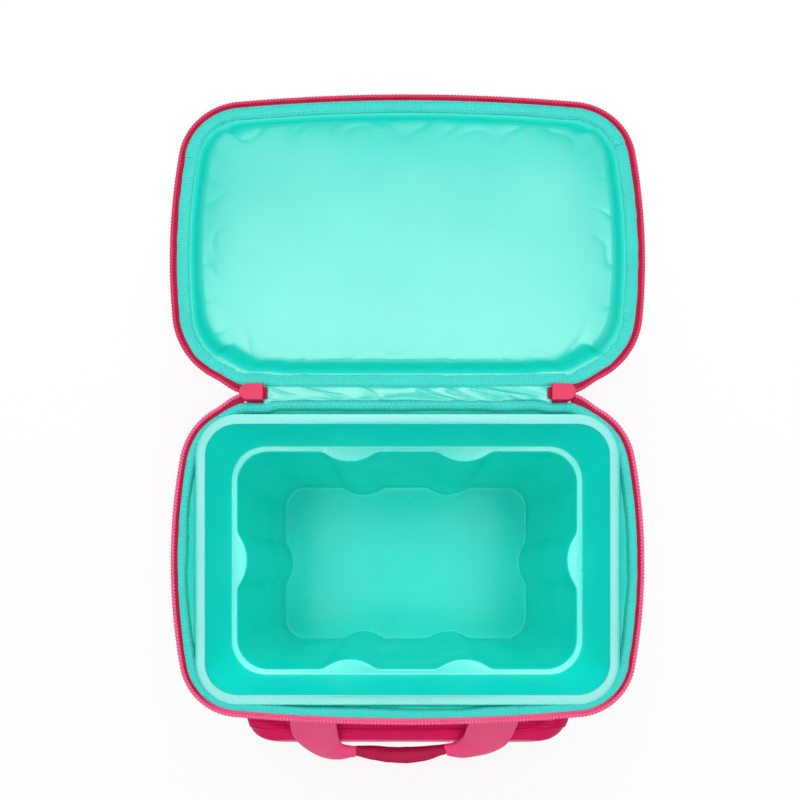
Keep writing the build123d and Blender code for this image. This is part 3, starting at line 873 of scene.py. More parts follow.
# ------------------------------------------------------------------ places of the trim
TAPE_HEIGHT = -1.5 * MM         # of the zip tape's face, from the zip line
TRIM_TOP = -0.35 * MM           # nothing on either rim stands higher than this
COIL_CENTRE = 1.35 * MM         # inset of the coil's middle
COIL_HALF = 1.35 * MM
COIL_LEVEL = -1.35 * MM
TAPE_OUTER = 1.6 * MM
TAPE_INNER = 5.2 * MM
TAPE_THICKNESS = 0.6 * MM
TAPE_TURN = 0.9 * MM            # how far a tape's inner edge dips where its coil turns out
ZIP_START = 107.5 * MM          # from the middle of the rear to where the coils and tapes start
HEM_SHIFT = 3.9 * MM            # how far the binding steps out where there is no zip
END_SHIFT = 2.6 * MM            # how far it steps out beside a slider
COIL_SHIFT = 4.5 * MM           # how far a coil turns out to its slider
REAR_BAND = 8 * MM              # the trim this near to the rear edge may step out
# Steps outwards: a size, and the distances from the middle between which it fades
HEM_STEPS = ((END_SHIFT, 106 * MM, 127 * MM), (HEM_SHIFT - END_SHIFT, 84 * MM, 94 * MM))
COIL_STEPS = ((COIL_SHIFT, 108 * MM, 127 * MM),)
COIL_DEPTH = 0.95 * MM          # half its thickness
COIL_PITCH = 2.4 * MM           # of the zips' teeth
BODY_BINDING_WIDTH = 6.4 * MM
LID_BINDING_WIDTH = 9.2 * MM
BINDING_OUTER = 3.9 * MM
BINDING_WANDER = 0.45 * MM      # how far its inner edge strays from a true line
BINDING_SEAMS = (4, 8)          # the points of its section that carry stitches
COVER_SEAMS = (2, 4)            # rings of the lid's cover, past its shoulder, that carry stitches
POCKET_SEAMS = (4, 7)           # rings of the pocket's face that carry stitches
WALL_INSET = RIM_HIGH.x - WALL_HALF_WIDTH
LINING_INSET = 9.4 * MM
CLOTH_THICKNESS = 1.0 * MM
FILM_THICKNESS = 0.5 * MM
BASE_PIPING_RADIUS = 1.6 * MM
TUB_CORNER = 28 * MM            # the corner radius of the tub's rim
ROUND_POINTS = 460              # round the bag's walls and lining


def step_out(outline, s, moves):
    """How far the trim steps outwards at distances s, next to the hinge."""
    points, _ = outline.at(s)
    across = np.abs(points[:, :1])
    rear = points[:, 1:] > outline.points[0, 1] - REAR_BAND
    return rear * sum(size * (1 - smoothstep(across, near, far)) for size, near, far in moves)


def make_coil(name, outline, place, start, material):
    """A zip's coil: a round cord pinched between its teeth."""
    step = COIL_PITCH / 7
    s = np.arange(start, outline.length - start, step)
    turn = np.linspace(0, 2 * math.pi, 9, endpoint=False)
    tooth = np.abs(np.sin(math.pi * (s - start) / COIL_PITCH)) ** 0.55
    size = (0.66 + 0.34 * tooth)[:, None]
    shift = step_out(outline, s, COIL_STEPS)
    inset = COIL_CENTRE - shift + COIL_HALF * size * np.cos(turn)
    height = COIL_LEVEL + COIL_DEPTH * size * np.sin(turn)
    points = rings(outline, place, s, inset, height)
    return grid_object(name, points, material, wrap_columns=True, caps=True)


def make_tape(name, outline, place, start, material, seed):
    """The strip of zip tape between coil and binding."""
    s = np.arange(start, outline.length - start, 1.5 * MM)
    across = np.linspace(0, 1, 8)
    shift = step_out(outline, s, COIL_STEPS)
    inset = TAPE_OUTER + (TAPE_INNER - TAPE_OUTER) * across - shift * (1 - across)
    base = rings(outline, place, s, inset, TAPE_HEIGHT)
    height = TAPE_HEIGHT + 0.25 * MM * waves(base, 12 * MM, seed) * np.sin(math.pi * across)
    height = height - TAPE_TURN * across * shift / COIL_SHIFT
    points = rings(outline, place, s, inset, height)
    under = rings(outline, place, s, inset, height - TAPE_THICKNESS)
    ring = np.concatenate([points, under[:, ::-1]], axis=1)
    return grid_object(name, ring, material, wrap_columns=True, caps=True)


def binding_profile(width, crown):
    """The section of a folded binding: insets from its outer edge, and heights."""
    return np.array([
        (0.5 * MM, -3.4 * MM), (0.0, -2.2 * MM), (0.1 * MM, -1.1 * MM),
        (0.7 * MM, -0.45 * MM), (0.22 * width, -0.05 * MM), (0.36 * width, -0.3 * MM),
        (0.5 * width, 0.0), (0.64 * width, -0.1 * MM), (0.78 * width, -0.45 * MM - crown * 0.3),
        (0.92 * width, -0.7 * MM - crown * 0.6), (width - 0.2 * MM, -1.4 * MM - crown),
        (width, -2.4 * MM - crown), (width - 0.8 * MM, -3.3 * MM - crown),
        (0.6 * width, -3.9 * MM), (0.3 * width, -3.8 * MM),
    ])


def make_binding(name, outline, place, s, width, crown, seed, lift):
    """A band of folded grosgrain along an outline, puckered where the outline turns."""
    profile = binding_profile(width, crown)
    _, normals = outline.at(s)
    _, ahead = outline.at(s + 4 * MM)
    bend = smoothstep(np.linalg.norm(ahead - normals, axis=1), 0.02, 0.09)
    start = BINDING_OUTER - step_out(outline, s, HEM_STEPS) + profile[:, 0]
    base = rings(outline, place, s, start, profile[:, 1])
    middle = base.mean(1)
    slow = waves(middle, 38 * MM, seed)
    fast = waves(middle, 7 * MM, seed + 1)
    inward = np.linspace(0, 1, 8) ** 1.2
    share = np.concatenate([np.zeros(3), inward, np.ones(4)])
    reach = (BINDING_WANDER * slow + 0.35 * MM * fast * (0.25 + bend))[:, None] * share
    pucker = np.sin(2 * math.pi * s / (4.6 * MM) + 1.4 * slow) * bend
    drop = (0.5 * MM * pucker - 0.5 * MM * bend + 0.18 * MM * fast)[:, None] * share
    height = TRIM_TOP - 0.5 * MM + profile[:, 1] + drop + lift
    points = rings(outline, place, s, start + reach, np.minimum(height, TRIM_TOP))
    piece = grid_object(name, points, MATERIALS["binding"], wrap_columns=True, caps=True)
    return piece, points


def binding_rows(points, place):
    """The two rows of stitches on a binding, from the points of its section."""
    up = np.diff(place(np.zeros(2), np.zeros(2), np.array([0.0, 1.0])), axis=0)
    return [(points[:, column], np.tile(up, (len(points), 1))) for column in BINDING_SEAMS]


# ------------------------------------------------------------------ operators
class CARRIER_OT_materials(bpy.types.Operator):
    """Make every material from the carrier's colours"""

    bl_idname = "carrier.materials"
    bl_label = "Materials"

    def execute(self, context):
        make_materials(context.scene.carrier_colours)
        return {"FINISHED"}


class CARRIER_OT_walls(bpy.types.Operator):
    """Make the bag's outer cloth, its base and their seams"""

    bl_idname = "carrier.walls"
    bl_label = "Walls and Base"

    def execute(self, context):
        sizes = context.scene.carrier_sizes
        s = np.linspace(0, RIM.length, ROUND_POINTS, endpoint=False)
        top = TAPE_HEIGHT - 0.5 * MM
        bottom = 2.2 * MM - FOLD            # where the wall meets the cord round the base
        height = np.linspace(top, bottom, 72)
        base = rings(RIM, on_body, s, WALL_INSET, height)
        _, normals = RIM.at(s)
        sideways = np.abs(normals[:, :1])
        level = (height - bottom) / (top - bottom)
        bulge = sizes.wall_bulge * np.sin(math.pi * level) ** 0.8 * (0.25 + 0.75 * sideways)
        slack = np.sin(math.pi * level) ** 0.5 * (0.35 + 0.65 * sideways)
        soft = 0.9 * MM * waves(base, 62 * MM, 11, stretch=(1, 1, 1.5)) * slack
        crumple = 1.3 * MM * creases(base, 46 * MM, 12, stretch=(1, 1, 1.7)) * slack
        band_level = -26 * MM               # of the upper seam, from the zip line
        foot_level = 16 * MM - FOLD         # of the lower seam
        stitch_gap = 3.2 * MM               # from a seam to the stitches on each side of it
        groove_depth, groove_width = 0.9 * MM, 1.1 * MM
        groove = sum(
            groove_depth * np.exp(-((height - seam) / groove_width) ** 2)
            for seam in (band_level, foot_level)
        )
        tuck = 1.6 * MM * np.exp(-((height - bottom) / (2.2 * MM)) ** 2)
        inset = WALL_INSET - bulge - soft - crumple + groove + tuck
        inset = np.where(height > -7 * MM, np.maximum(inset, WALL_INSET - 0.4 * MM), inset)
        points = rings(RIM, on_body, s, inset, height)
        wall = sheet_object(
            "body_wall_cloth", points, CLOTH_THICKNESS, MATERIALS["cloth"], wrap_rows=True
        )
        dress(wall, "carrier", "outer_cloth", "body_outer_wall")

        columns = [
            int(np.argmin(np.abs(height - seam - side)))
            for seam in (band_level, foot_level) for side in (-stitch_gap, stitch_gap)
        ]
        rows = seam_rows(points, grid_normals(points), columns)
        seams = stitches("body_wall_stitches", rows, MATERIALS["pink_thread"], sizes)
        dress(seams, "carrier", "outer_cloth")

        cord = rings(RIM, on_body, s, np.array([WALL_INSET + 0.3 * MM]), 2.4 * MM - FOLD)[:, 0]
        piping = tube(
            "base_piping", cord, BASE_PIPING_RADIUS, MATERIALS["cloth"], sides=10, closed=True
        )
        dress(piping, "carrier", "outer_cloth")

        # The base's cloth curls up at its edge, and its skin is closed over the same rings
        shrink = np.concatenate([[1.0, 0.997, 0.99], np.linspace(0.96, 0.0, 26)])
        plan = RIM.at(s)[0] - RIM.at(s)[1] * WALL_INSET
        level = np.where(shrink > 0.993, 0.92 * MM, 0.02 * MM)
        under = spread(plan[:, :1] * shrink, plan[:, 1:] * shrink, level)
        over = under[:, ::-1] + [0.0, 0.0, 1.1 * MM]
        panel = grid_object(
            "base_panel_cloth", np.concatenate([under, over], 1), MATERIALS["cloth"],
            wrap_rows=True, wrap_columns=True,
        )
        dress(panel, "carrier", "outer_cloth", "body_base_panel")
        return {"FINISHED"}


class CARRIER_OT_lining(bpy.types.Operator):
    """Make the film that lines the bag's walls and floor"""

    bl_idname = "carrier.lining"
    bl_label = "Body Lining"

    def execute(self, context):
        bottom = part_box("body_lining")[0].z - FOLD
        overlap = 1.6 * MM                  # how far the film rolls in past the tub's edge
        farthest = 26 * MM                  # in from the rim, where the tub's corners stand off
        s = np.linspace(0, RIM.length, ROUND_POINTS, endpoint=False)
        height = np.concatenate([
            -3.9 * MM - 2.0 * MM * np.linspace(0, 1, 4) ** 2,
            np.linspace(-6.6 * MM, -16 * MM, 16),
            np.linspace(-18 * MM, bottom + 2.5 * MM, 34), [bottom + 1.0 * MM],
        ])
        base = rings(RIM, on_body, s, LINING_INSET, height)
        slack = smoothstep(-height, 16 * MM, 34 * MM)
        fold = np.maximum(0.5 * MM * waves(base, 34 * MM, 21, stretch=(1, 1, 2)) * slack, 0.0)
        fold += 0.9 * MM * creases(base, 30 * MM, 22, stretch=(1, 1, 2.4)) * slack
        start = BINDING_OUTER + 0.45 * BODY_BINDING_WIDTH - step_out(RIM, s, HEM_STEPS)
        lean = np.minimum(self.tub_gap(s) + overlap, farthest)[:, None]
        lean = lean + 0.5 * MM * waves(base[:, :1], 17 * MM, 24)
        roll = smoothstep(-height, 3.6 * MM, 7.4 * MM)
        back = smoothstep(-height, 9 * MM, 30 * MM)
        rolled = start + (lean - start) * roll
        inset = rolled * (1 - back) + (LINING_INSET + 0.4 * MM + fold) * back
        pinch = creases(base, 15 * MM, 25, stretch=(1, 1, 3)) * roll * (1 - back)
        inset = np.maximum(inset - 1.1 * MM * pinch, start)
        wall = rings(RIM, on_body, s, inset, height)
        shares = np.linspace(0.985, 0.0, 24)
        floor = np.stack([wall[:, -1] * [share, share, 1.0] for share in shares], 1)
        floor[..., 2] += 0.25 * MM * waves(floor, 26 * MM, 23) - 0.3 * MM
        points = np.concatenate([wall, floor], 1)
        film = sheet_object(
            "body_lining_film", points[:, ::-1], FILM_THICKNESS, MATERIALS["lining"],
            wrap_rows=True,
        )
        dress(film, "carrier", "lining_film", "body_lining")
        return {"FINISHED"}

    def tub_gap(self, s):
        """How far in from the rim the tub's edge stands at distances s."""
        points, normals = RIM.at(s)
        half = np.array([TUB_HIGH.x, (TUB_HIGH.y - TUB_LOW.y) / 2]) - TUB_CORNER
        middle = np.array([0.0, (TUB_HIGH.y + TUB_LOW.y) / 2])
        low, high = np.zeros(len(s)), np.full(len(s), 60 * MM)
        for _ in range(24):
            inset = (low + high) / 2
            away = np.maximum(np.abs(points - normals * inset[:, None] - middle) - half, 0.0)
            outside = np.linalg.norm(away, axis=1) > TUB_CORNER
            low, high = np.where(outside, inset, low), np.where(outside, high, inset)
        return (low + high) / 2


# Round a ring of the tub: its corners, its sides' outward ways, their points, and the corners' turn
RING_CORNERS = np.array([[-1, 1], [1, 1], [1, -1], [-1, -1]])
RING_SIDES = np.array([[0, 1], [1, 0], [0, -1], [-1, 0]])
RING_COUNTS = (110, 70, 110, 70)
RING_TURN = np.linspace(0, math.pi / 2, 20)[1:-1]


def rounded_ring(half_width, half_depth, radius):
    """Matching points round a rounded rectangle, with the way in from each straight side."""
    centres = np.array([half_width - radius, half_depth - radius]) * RING_CORNERS
    points, inward = [], []
    for k, outward in enumerate(RING_SIDES):
        side = np.linspace(centres[k], centres[(k + 1) % 4], RING_COUNTS[k]) + radius * outward
        angles = (1 - k) * math.pi / 2 - RING_TURN
        bend = np.stack([np.cos(angles), np.sin(angles)], -1)
        points += [side, centres[(k + 1) % 4] + radius * bend]
        inward += [np.tile(-outward, (len(side), 1)), np.zeros_like(bend)]
    return np.concatenate(points), np.concatenate(inward)


class CARRIER_OT_tub(bpy.types.Operator):
    """Make the moulded liner tub: rim, flared upper wall, ledge, ribs and floor"""

    bl_idname = "carrier.tub"
    bl_label = "Liner Tub"

    def execute(self, context):
        flange = 7.2 * MM           # width of the flat rim
        wall = 1.8 * MM
        upper = 39.0 * MM           # from the rim down to the ledge
        flare = 6.2 * MM            # how far the upper wall leans in
        ledge = 4.5 * MM
        draft = 3.0 * MM            # how far the lower wall leans in
        rib_radius = 30.0 * MM
        rib_depth = 7.0 * MM
        rib_spacing = 83.0 * MM
        half_width = TUB_HIGH.x
        half_depth = (TUB_HIGH.y - TUB_LOW.y) / 2
        shift = (TUB_HIGH.y + TUB_LOW.y) / 2
        top = TUB_HIGH.z
        shelf = top - upper
        floor = TUB_LOW.z + wall
        fillet = 1.8 * MM
        lip = 0.8 * MM
        bead = 0.8 * MM
        cove = 1.3 * MM
        nose = 1.1 * MM
        inner = flange + flare
        edge = inner + ledge
        turn = np.linspace(0, math.pi / 2, 6)

        def radius_at(inset):
            """The corner radius of the section at an inset from the rim's edge."""
            return np.interp(
                inset, (0, flange, inner, edge, edge + draft + fillet),
                (TUB_CORNER, TUB_CORNER - flange, 25 * MM, 22 * MM, 20 * MM),
            )

        def ribs(points, inward):
            """How far each rib stands in at points of the straight sides."""
            depth = np.zeros(len(points))
            sharp = 0.9 * MM
            for axis, centre in ((0, -rib_spacing / 2), (0, rib_spacing / 2), (1, 0.0)):
                away = points[:, axis] - centre
                bump = np.sqrt(np.maximum(rib_radius**2 - away**2, 0.0)) - (rib_radius - rib_depth)
                soft = sharp * np.log1p(np.exp(np.clip(bump / sharp, -30, 30)))
                depth = np.where(inward[:, 1 - axis] != 0, np.maximum(depth, soft), depth)
            return depth

        # Each section is an inset from the rim's edge, a height and the share of the ribs
        drop = shelf - nose - floor - fillet
        foot = edge + draft + fillet
        sections = [
            (0.0, top - 4.0 * MM, 0), (0.0, top - 2.2 * MM, 0),
            *((lip - lip * math.cos(a), top - lip + lip * math.sin(a), 0) for a in turn),
            (0.35 * flange, top + 0.05 * MM, 0), (0.7 * flange, top + 0.05 * MM, 0),
            *((flange - bead + bead * math.sin(a), top - bead + bead * math.cos(a), 0)
              for a in turn),
            *((flange + flare * share, top - bead - (upper - bead - 1.4 * MM) * share, 0)
              for share in np.linspace(0.08, 0.96, 9)),
            *((inner + cove - cove * math.cos(a), shelf + cove - cove * math.sin(a), 0)
              for a in turn),
            *((edge - nose + nose * math.sin(a) * share, shelf - nose + nose * math.cos(a), share)
              for a, share in zip(turn, (0.96, 0.97, 0.98, 0.99, 1.0, 1.0))),
            *((edge + draft * share, shelf - nose - drop * share, 1)
              for share in np.linspace(0.03, 1.0, 16)),
            *((foot - fillet * math.cos(a), floor + fillet - fillet * math.sin(a), 1)
              for a in turn[1:]),
        ]
        columns = []
        for inset, level, share in sections:
            plan, inward = rounded_ring(half_width - inset, half_depth - inset, radius_at(inset))
            plan = plan + inward * (ribs(plan, inward) * share)[:, None]
            columns.append(spread(plan[:, 0], plan[:, 1] + shift, level))
        last = columns[-1]
        centre = np.array([0.0, shift, floor])
        for share in np.linspace(0.96, 0.0, 20):
            ring = centre + (last - centre) * share
            ring[:, 2] = floor + 0.2 * MM * waves(ring, 60 * MM, 31)
            columns.append(ring)
        points = np.stack(columns, 1)
        tub = grid_object("liner_tub_shell", points, MATERIALS["tub"], wrap_rows=True)
        for finish in ("tub_wall", "tub_floor", "tub_ledge"):
            tub.data.materials.append(MATERIALS[finish])
        on_rim, on_wall, on_floor, on_ledge = range(4)
        # the rim, ledge, floor and walls take the darker and lighter copies: painted shade and painted
        # light
        for face in tub.data.polygons:
            if face.center.z < floor + 0.5 * MM:
                face.material_index = on_floor
            elif abs(face.normal.z) < 0.6 and face.center.z < top - 2 * MM:
                face.material_index = on_wall
            else:
                face.material_index = on_ledge if face.center.z < shelf + cove else on_rim
        thick = tub.modifiers.new("wall", "SOLIDIFY")
        thick.thickness = wall
        thick.offset = -1.0
        thick.use_even_offset = False
        dress(tub, "liner", "liner_plastic", "liner_tub")
        return {"FINISHED"}


class CARRIER_OT_rims(bpy.types.Operator):
    """Make the zip coils, zip tapes and stitched bindings of body and lid"""

    bl_idname = "carrier.rims"
    bl_label = "Zips and Bindings"

    def execute(self, context):
        sizes = context.scene.carrier_sizes
        for word, body, teeth, outline, place, width, crown, seed in (
            ("body", "carrier", "coil", RIM, on_body, BODY_BINDING_WIDTH, 1.6 * MM, 40),
            ("lid", "lid", "coil_back", LID, on_lid, LID_BINDING_WIDTH, 0.0, 50),
        ):
            start = outline.where(ZIP_START)
            coil = make_coil(f"{word}_coil_teeth", outline, place, start, MATERIALS[teeth])
            dress(coil, body, "zip_coil", f"{word}_zip_coil")
            tape = make_tape(
                f"{word}_tape_strip", outline, place, start, MATERIALS["zip_tape"], seed
            )
            dress(tape, body, "zip_tape", f"{word}_zip_tape")
            # The binding is two lengths: one over the front, one from there round the rear
            rows = []
            half = outline.length / 2
            front = half - outline.where(outline.points[:, 0].max() - 12 * MM)
            spans = (
                ("front", half - front * 0.52, half + front * 0.56, 0.0, 0),
                ("sides", -(half - front * 0.5), half - front * 0.47, -0.28 * MM, 5),
            )
            for part, low, high, lift, extra in spans:
                s = np.arange(low, high, 1.1 * MM)
                piece, points = make_binding(
                    f"{word}_binding_{part}", outline, place, s, width, crown, seed + extra, lift
                )
                nodes = (f"{word}_binding", f"{word}_hinge_hem") if part == "sides" else ()
                dress(piece, body, "binding_tape", *nodes)
                rows += binding_rows(points, place)
            seams = stitches(f"{word}_binding_stitches", rows, MATERIALS["thread"], sizes)
            dress(seams, body, "binding_tape")
        return {"FINISHED"}


def outline_grid(outline, inset, rows, columns):
    """A grid of points that fills an outline, square-wise, with its border on the outline."""
    s = np.linspace(0, outline.length, 1500, endpoint=False)
    points, normals = outline.at(s)
    border = points - normals * (inset - step_out(outline, s, HEM_STEPS))
    centre = (border.max(0) + border.min(0)) / 2
    size = (border.max(0) - border.min(0)) / 2
    offset = (border - centre) / size
    angles = np.arctan2(offset[:, 1], offset[:, 0])
    order = np.argsort(angles)
    reach = np.linalg.norm(offset, axis=1)[order]
    a, b = np.meshgrid(np.linspace(-1, 1, rows), np.linspace(-1, 1, columns), indexing="ij")
    plain = np.stack([a, b], -1)
    square = np.abs(plain).max(-1)
    far = np.interp(np.arctan2(b, a), angles[order], reach, period=2 * math.pi)
    unit = plain / np.maximum(np.hypot(a, b), 1e-9)[..., None]
    edge = 1 / np.maximum(np.abs(unit).max(-1), 1e-9)
    warped = unit * (square * far)[..., None]
    blend = smoothstep(square, 0.0, 1.0)[..., None]
    mapped = plain * (1 - blend) * (far / edge)[..., None] + warped * blend
    return centre + mapped * size


SHOULDER_LEVEL = -2.6 * MM      # where the lid's pad and cover meet its trim
SHOULDER_WIDTH = 6.2 * MM
SHOULDER_DROP = 13.2 * MM
COVER_GROOVE = 0.9 * MM         # depth of the cover's sewn seam
COVER_SEAM_SHARE = 0.9          # its place between the cover's middle and its shoulder


class CARRIER_OT_lid(bpy.types.Operator):
    """Make the lid's padded lining and its outer cover"""

    bl_idname = "carrier.lid"
    bl_label = "Lid"

    def execute(self, context):
        self.pad(context)
        self.cover(context.scene.carrier_sizes)
        return {"FINISHED"}

    def pad(self, context):
        """The puffy lining, drawn tight over its edge and flat behind."""
        puff = context.scene.carrier_sizes.lid_puff
        back_level = -3.4 * MM              # of its flat back, from the zip line
        inset = BINDING_OUTER + LID_BINDING_WIDTH - 1.6 * MM
        columns, rows = 241, 161
        plan = outline_grid(LID, inset, columns, rows)
        across = np.linspace(-1, 1, columns)[:, None]
        along = np.linspace(-1, 1, rows)[None, :]
        half = (plan.reshape(-1, 2).max(0) - plan.reshape(-1, 2).min(0)) / 2
        side, end = np.broadcast_arrays((1 - np.abs(across)) * half[0], (1 - np.abs(along)) * half[1])
        rim = np.minimum(side, end)
        flat = on_lid(plan[..., 0], plan[..., 1], np.zeros(plan.shape[:2]))
        lip = 0.5 * MM * np.exp(-((rim - 2.2 * MM) / (1.0 * MM)) ** 2)
        dip = 0.5 * MM * np.exp(-((rim - 4.4 * MM) / (1.4 * MM)) ** 2)
        swell = smoothstep(rim, 3.0 * MM, 11 * MM)
        crown = 1 - (np.maximum(np.abs(across), np.abs(along))) ** 3
        inner = smoothstep(rim, 5 * MM, 22 * MM)
        soft = 0.22 * MM * waves(flat, 75 * MM, 61) * inner
        corner = np.hypot(
            np.maximum(np.abs(across) - 0.72, 0), np.maximum(np.abs(along) - 0.62, 0)
        )
        corner = smoothstep(corner, 0.05, 0.3)
        buckles = creases(flat, 30 * MM, 62) * smoothstep(rim, 2.5 * MM, 7 * MM)
        buckles = buckles * np.exp(-rim / (12 * MM)) * (0.12 * MM + 1.1 * MM * corner)
        height = SHOULDER_LEVEL + lip - dip + 0.72 * puff * swell
        height = height + 0.28 * puff * crown * swell + soft - buckles
        top = on_lid(plan[..., 0], plan[..., 1], height)
        under = on_lid(plan[..., 0], plan[..., 1], np.full(height.shape, back_level))
        pad = grid_object("lid_lining_cushion", top, MATERIALS["film"])
        back = grid_object("lid_lining_back", under, MATERIALS["film"])
        bpy.ops.object.select_all(action="DESELECT")
        context.view_layer.objects.active = pad
        pad.select_set(True)
        back.select_set(True)
        bpy.ops.object.join()
        # mask of the matt band along the edge, which also takes a painted shade
        uneven = 2.0 * MM * waves(flat, 45 * MM, 64)
        at_sides = 1 - smoothstep(side + uneven, 5.0 * MM, 14 * MM)
        at_hinge = 1 - smoothstep(end, 8.0 * MM, 11.5 * MM)
        at_front = 1 - smoothstep(end + uneven, 5.5 * MM, 15 * MM)
        tight = np.maximum(at_sides, np.where(along > 0, at_hinge, at_front))
        tight = tight * smoothstep(rim, 1.6 * MM, 2.8 * MM)
        drawn = pad.data.attributes.new("drawn_tight_shaded", "FLOAT", "POINT")
        values = np.concatenate([tight.ravel(), np.zeros(len(pad.data.vertices) - tight.size)])
        drawn.data.foreach_set("value", values)
        dress(pad, "lid", "lining_film", "lid_lining_pad")
        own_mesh(pad)

    def cover(self, sizes):
        """The outer cloth, which turns over a shoulder to a padded top with a sewn seam."""
        s = np.linspace(0, LID.length, 420, endpoint=False)
        turn = np.linspace(0, 1, 9)
        shoulder_inset = 2.0 * MM + SHOULDER_WIDTH * turn**2.6
        shoulder_height = SHOULDER_LEVEL - SHOULDER_DROP * turn**0.8
        inset = np.concatenate([[3.6 * MM, 2.4 * MM], shoulder_inset])
        height = np.concatenate([[-2.0 * MM, -2.1 * MM], shoulder_height])
        base = rings(LID, on_lid, s, inset, height)
        ripple = 0.5 * MM * waves(base, 40 * MM, 71) * smoothstep(-height, 3 * MM, 8 * MM)
        side = rings(LID, on_lid, s, inset - ripple, height)
        plan, normals = LID.at(s)
        last = plan - normals * inset[-1]
        middle = (last.max(0) + last.min(0)) / 2
        crown = []
        for share in np.linspace(0.985, 0.0, 34):
            xy = middle + (last - middle) * share
            flat = on_lid(xy[:, 0], xy[:, 1], np.zeros(len(xy)))
            puff = 1.8 * MM * (1 - share**4) + 0.5 * MM * waves(flat, 60 * MM, 72)
            seam = COVER_GROOVE * math.exp(-((share - COVER_SEAM_SHARE) / 0.008) ** 2)
            crown.append(on_lid(xy[:, 0], xy[:, 1], height[-1] - puff + seam))
        points = np.concatenate([side, np.stack(crown, 1)], 1)
        inner = np.concatenate([points[:, :1], points], 1)
        cover = grid_object("lid_cover_cloth", inner, MATERIALS["cloth"], wrap_rows=True)
        thick = cover.modifiers.new("cloth", "SOLIDIFY")
        thick.thickness = CLOTH_THICKNESS
        thick.offset = -1.0
        dress(cover, "lid", "outer_cloth", "lid_cover")
        columns = [len(height) + ring for ring in COVER_SEAMS]
        rows = seam_rows(points, grid_normals(points), columns)
        seams = stitches("lid_cover_stitches", rows, MATERIALS["pink_thread"], sizes)
        dress(seams, "lid", "outer_cloth")


class CARRIER_OT_hinge(bpy.types.Operator):
    """Make the two layers of the hinge strip: wrinkled film inside and cloth outside"""

    bl_idname = "carrier.hinge"
    bl_label = "Hinge Strip"

    def execute(self, context):
        half = HEM_HALF + 2.5 * MM              # the film's half width
        level = -1.2 * MM                       # of both its edges, from the zip line
        sewn_in = 8.2 * MM                      # of the cloth, behind the two bindings
        cloth_trim = 4.0 * MM                   # how far the cloth ends inside the hems
        highest = 1.4 * MM                      # of the film's wrinkles, from the zip line
        x = np.linspace(-half, half, 300)[:, None]
        t = np.linspace(0, 1, 22)[None, :]
        start_y = RIM_HALF_DEPTH - 0.6 * MM
        end = on_lid(np.zeros(1), np.full(1, -HINGE_HALF_GAP - 0.8 * MM), np.full(1, level))[0]
        drawn_in = 3.0 * MM * smoothstep(np.abs(x), HEM_HALF - 8 * MM, HEM_HALF + 6 * MM)
        y = start_y - drawn_in * (1 - t) + (end[1] - start_y) * t
        z = (FOLD + level) + (end[2] - FOLD - level) * t
        flat = spread(x, y, z)
        free = np.sin(math.pi * t) ** 0.6
        lean = flat + spread(0.0, 0.22 * flat[..., 0], 0.0)
        folds = creases(lean, 11 * MM, 81, stretch=(5.0, 1.0, 1.0))
        wave = waves(lean, 16 * MM, 82, stretch=(3.0, 1.0, 1.0))
        lift = (0.9 * MM + 0.9 * MM * folds + 0.5 * MM * wave) * free
        points = flat + spread(0.0, 0.0, lift)
        points[..., 2] = np.minimum(points[..., 2], FOLD + highest)
        strip = sheet_object("hinge_strip_film", points, 0.45 * MM, MATERIALS["crumpled"])
        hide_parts("hinge_strip_lining")
        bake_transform(strip)
        reach = sewn_in * t - 3.0 * MM + drawn_in * (1 - t)
        points = flat + spread(0.0, reach, -3.8 * MM + 1.6 * MM * free)
        points[..., 0] *= (HEM_HALF - cloth_trim) / half
        cloth = sheet_object("hinge_strip_cloth", points, 0.8 * MM, MATERIALS["cloth"])
        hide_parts("hinge_strip_outer")
        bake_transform(cloth)
        return {"FINISHED"}


class CARRIER_OT_zip_ends(bpy.types.Operator):
    """Make the zip's end tabs, and enamel the sliders and pulls"""

    bl_idname = "carrier.zip_ends"
    bl_label = "Zip Ends and Sliders"

    def execute(self, context):
        for word in ("left", "right"):
            low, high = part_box(f"zip_end_tab_{word}")
            x = np.linspace(low.x, high.x, 12)[:, None]
            t = np.linspace(0, 1, 12)[None, :]
            level = high.z - 0.5 * MM + 0.5 * MM * np.sin(math.pi * t)
            points = spread(x, low.y + (high.y - low.y) * t, level)
            if word == "left":
                points = points[:, ::-1]
            tab = sheet_object(
                f"zip_tab_cloth_{word}", points, 1.2 * MM, MATERIALS["zip_tape"], up=(0, 0, 1)
            )
            dress(tab, "hinge_strip", "zip_tape", f"zip_end_tab_{word}")
        for name in ("zip_slider_left", "zip_slider_right", "pocket_slider"):
            paint(name, MATERIALS["enamel"])
        for name in ("zip_pull_left", "zip_pull_right", "pocket_pull"):
            paint(name, MATERIALS["enamel"])
        return {"FINISHED"}


class CARRIER_OT_filling(bpy.types.Operator):
    """Finish the foam of the body and lid, and the board in the base"""

    bl_idname = "carrier.filling"
    bl_label = "Foam and Base Board"

    def execute(self, context):
        paint("body_foam", MATERIALS["foam"])
        paint("lid_foam", MATERIALS["foam"])
        paint("base_board", MATERIALS["board"])
        return {"FINISHED"}


def paint(name, material):
    """Give a node of the frame a material."""
    made = frame["nodes"][name]
    made.data.materials.clear()
    made.data.materials.append(material)


# ------------------------------------------------------------------ the pocket
POCKET_MIDDLE = (POCKET_LOW.z + POCKET_HIGH.z) / 2
POCKET_HALF_HEIGHT = (POCKET_HIGH.z - POCKET_LOW.z) / 2
POCKET_RADIUS = 26 * MM
RIDGE_PLACES = (-13.4 * MM, -11.0 * MM, -8.6 * MM)     # behind the pocket's face
RIDGE_HEIGHT = 1.5 * MM
RIDGE_WIDTH = 0.7 * MM


def on_front(x, z, out):
    """Points of the pocket, with out measured to the front."""
    return np.stack([x, -out, z], -1)


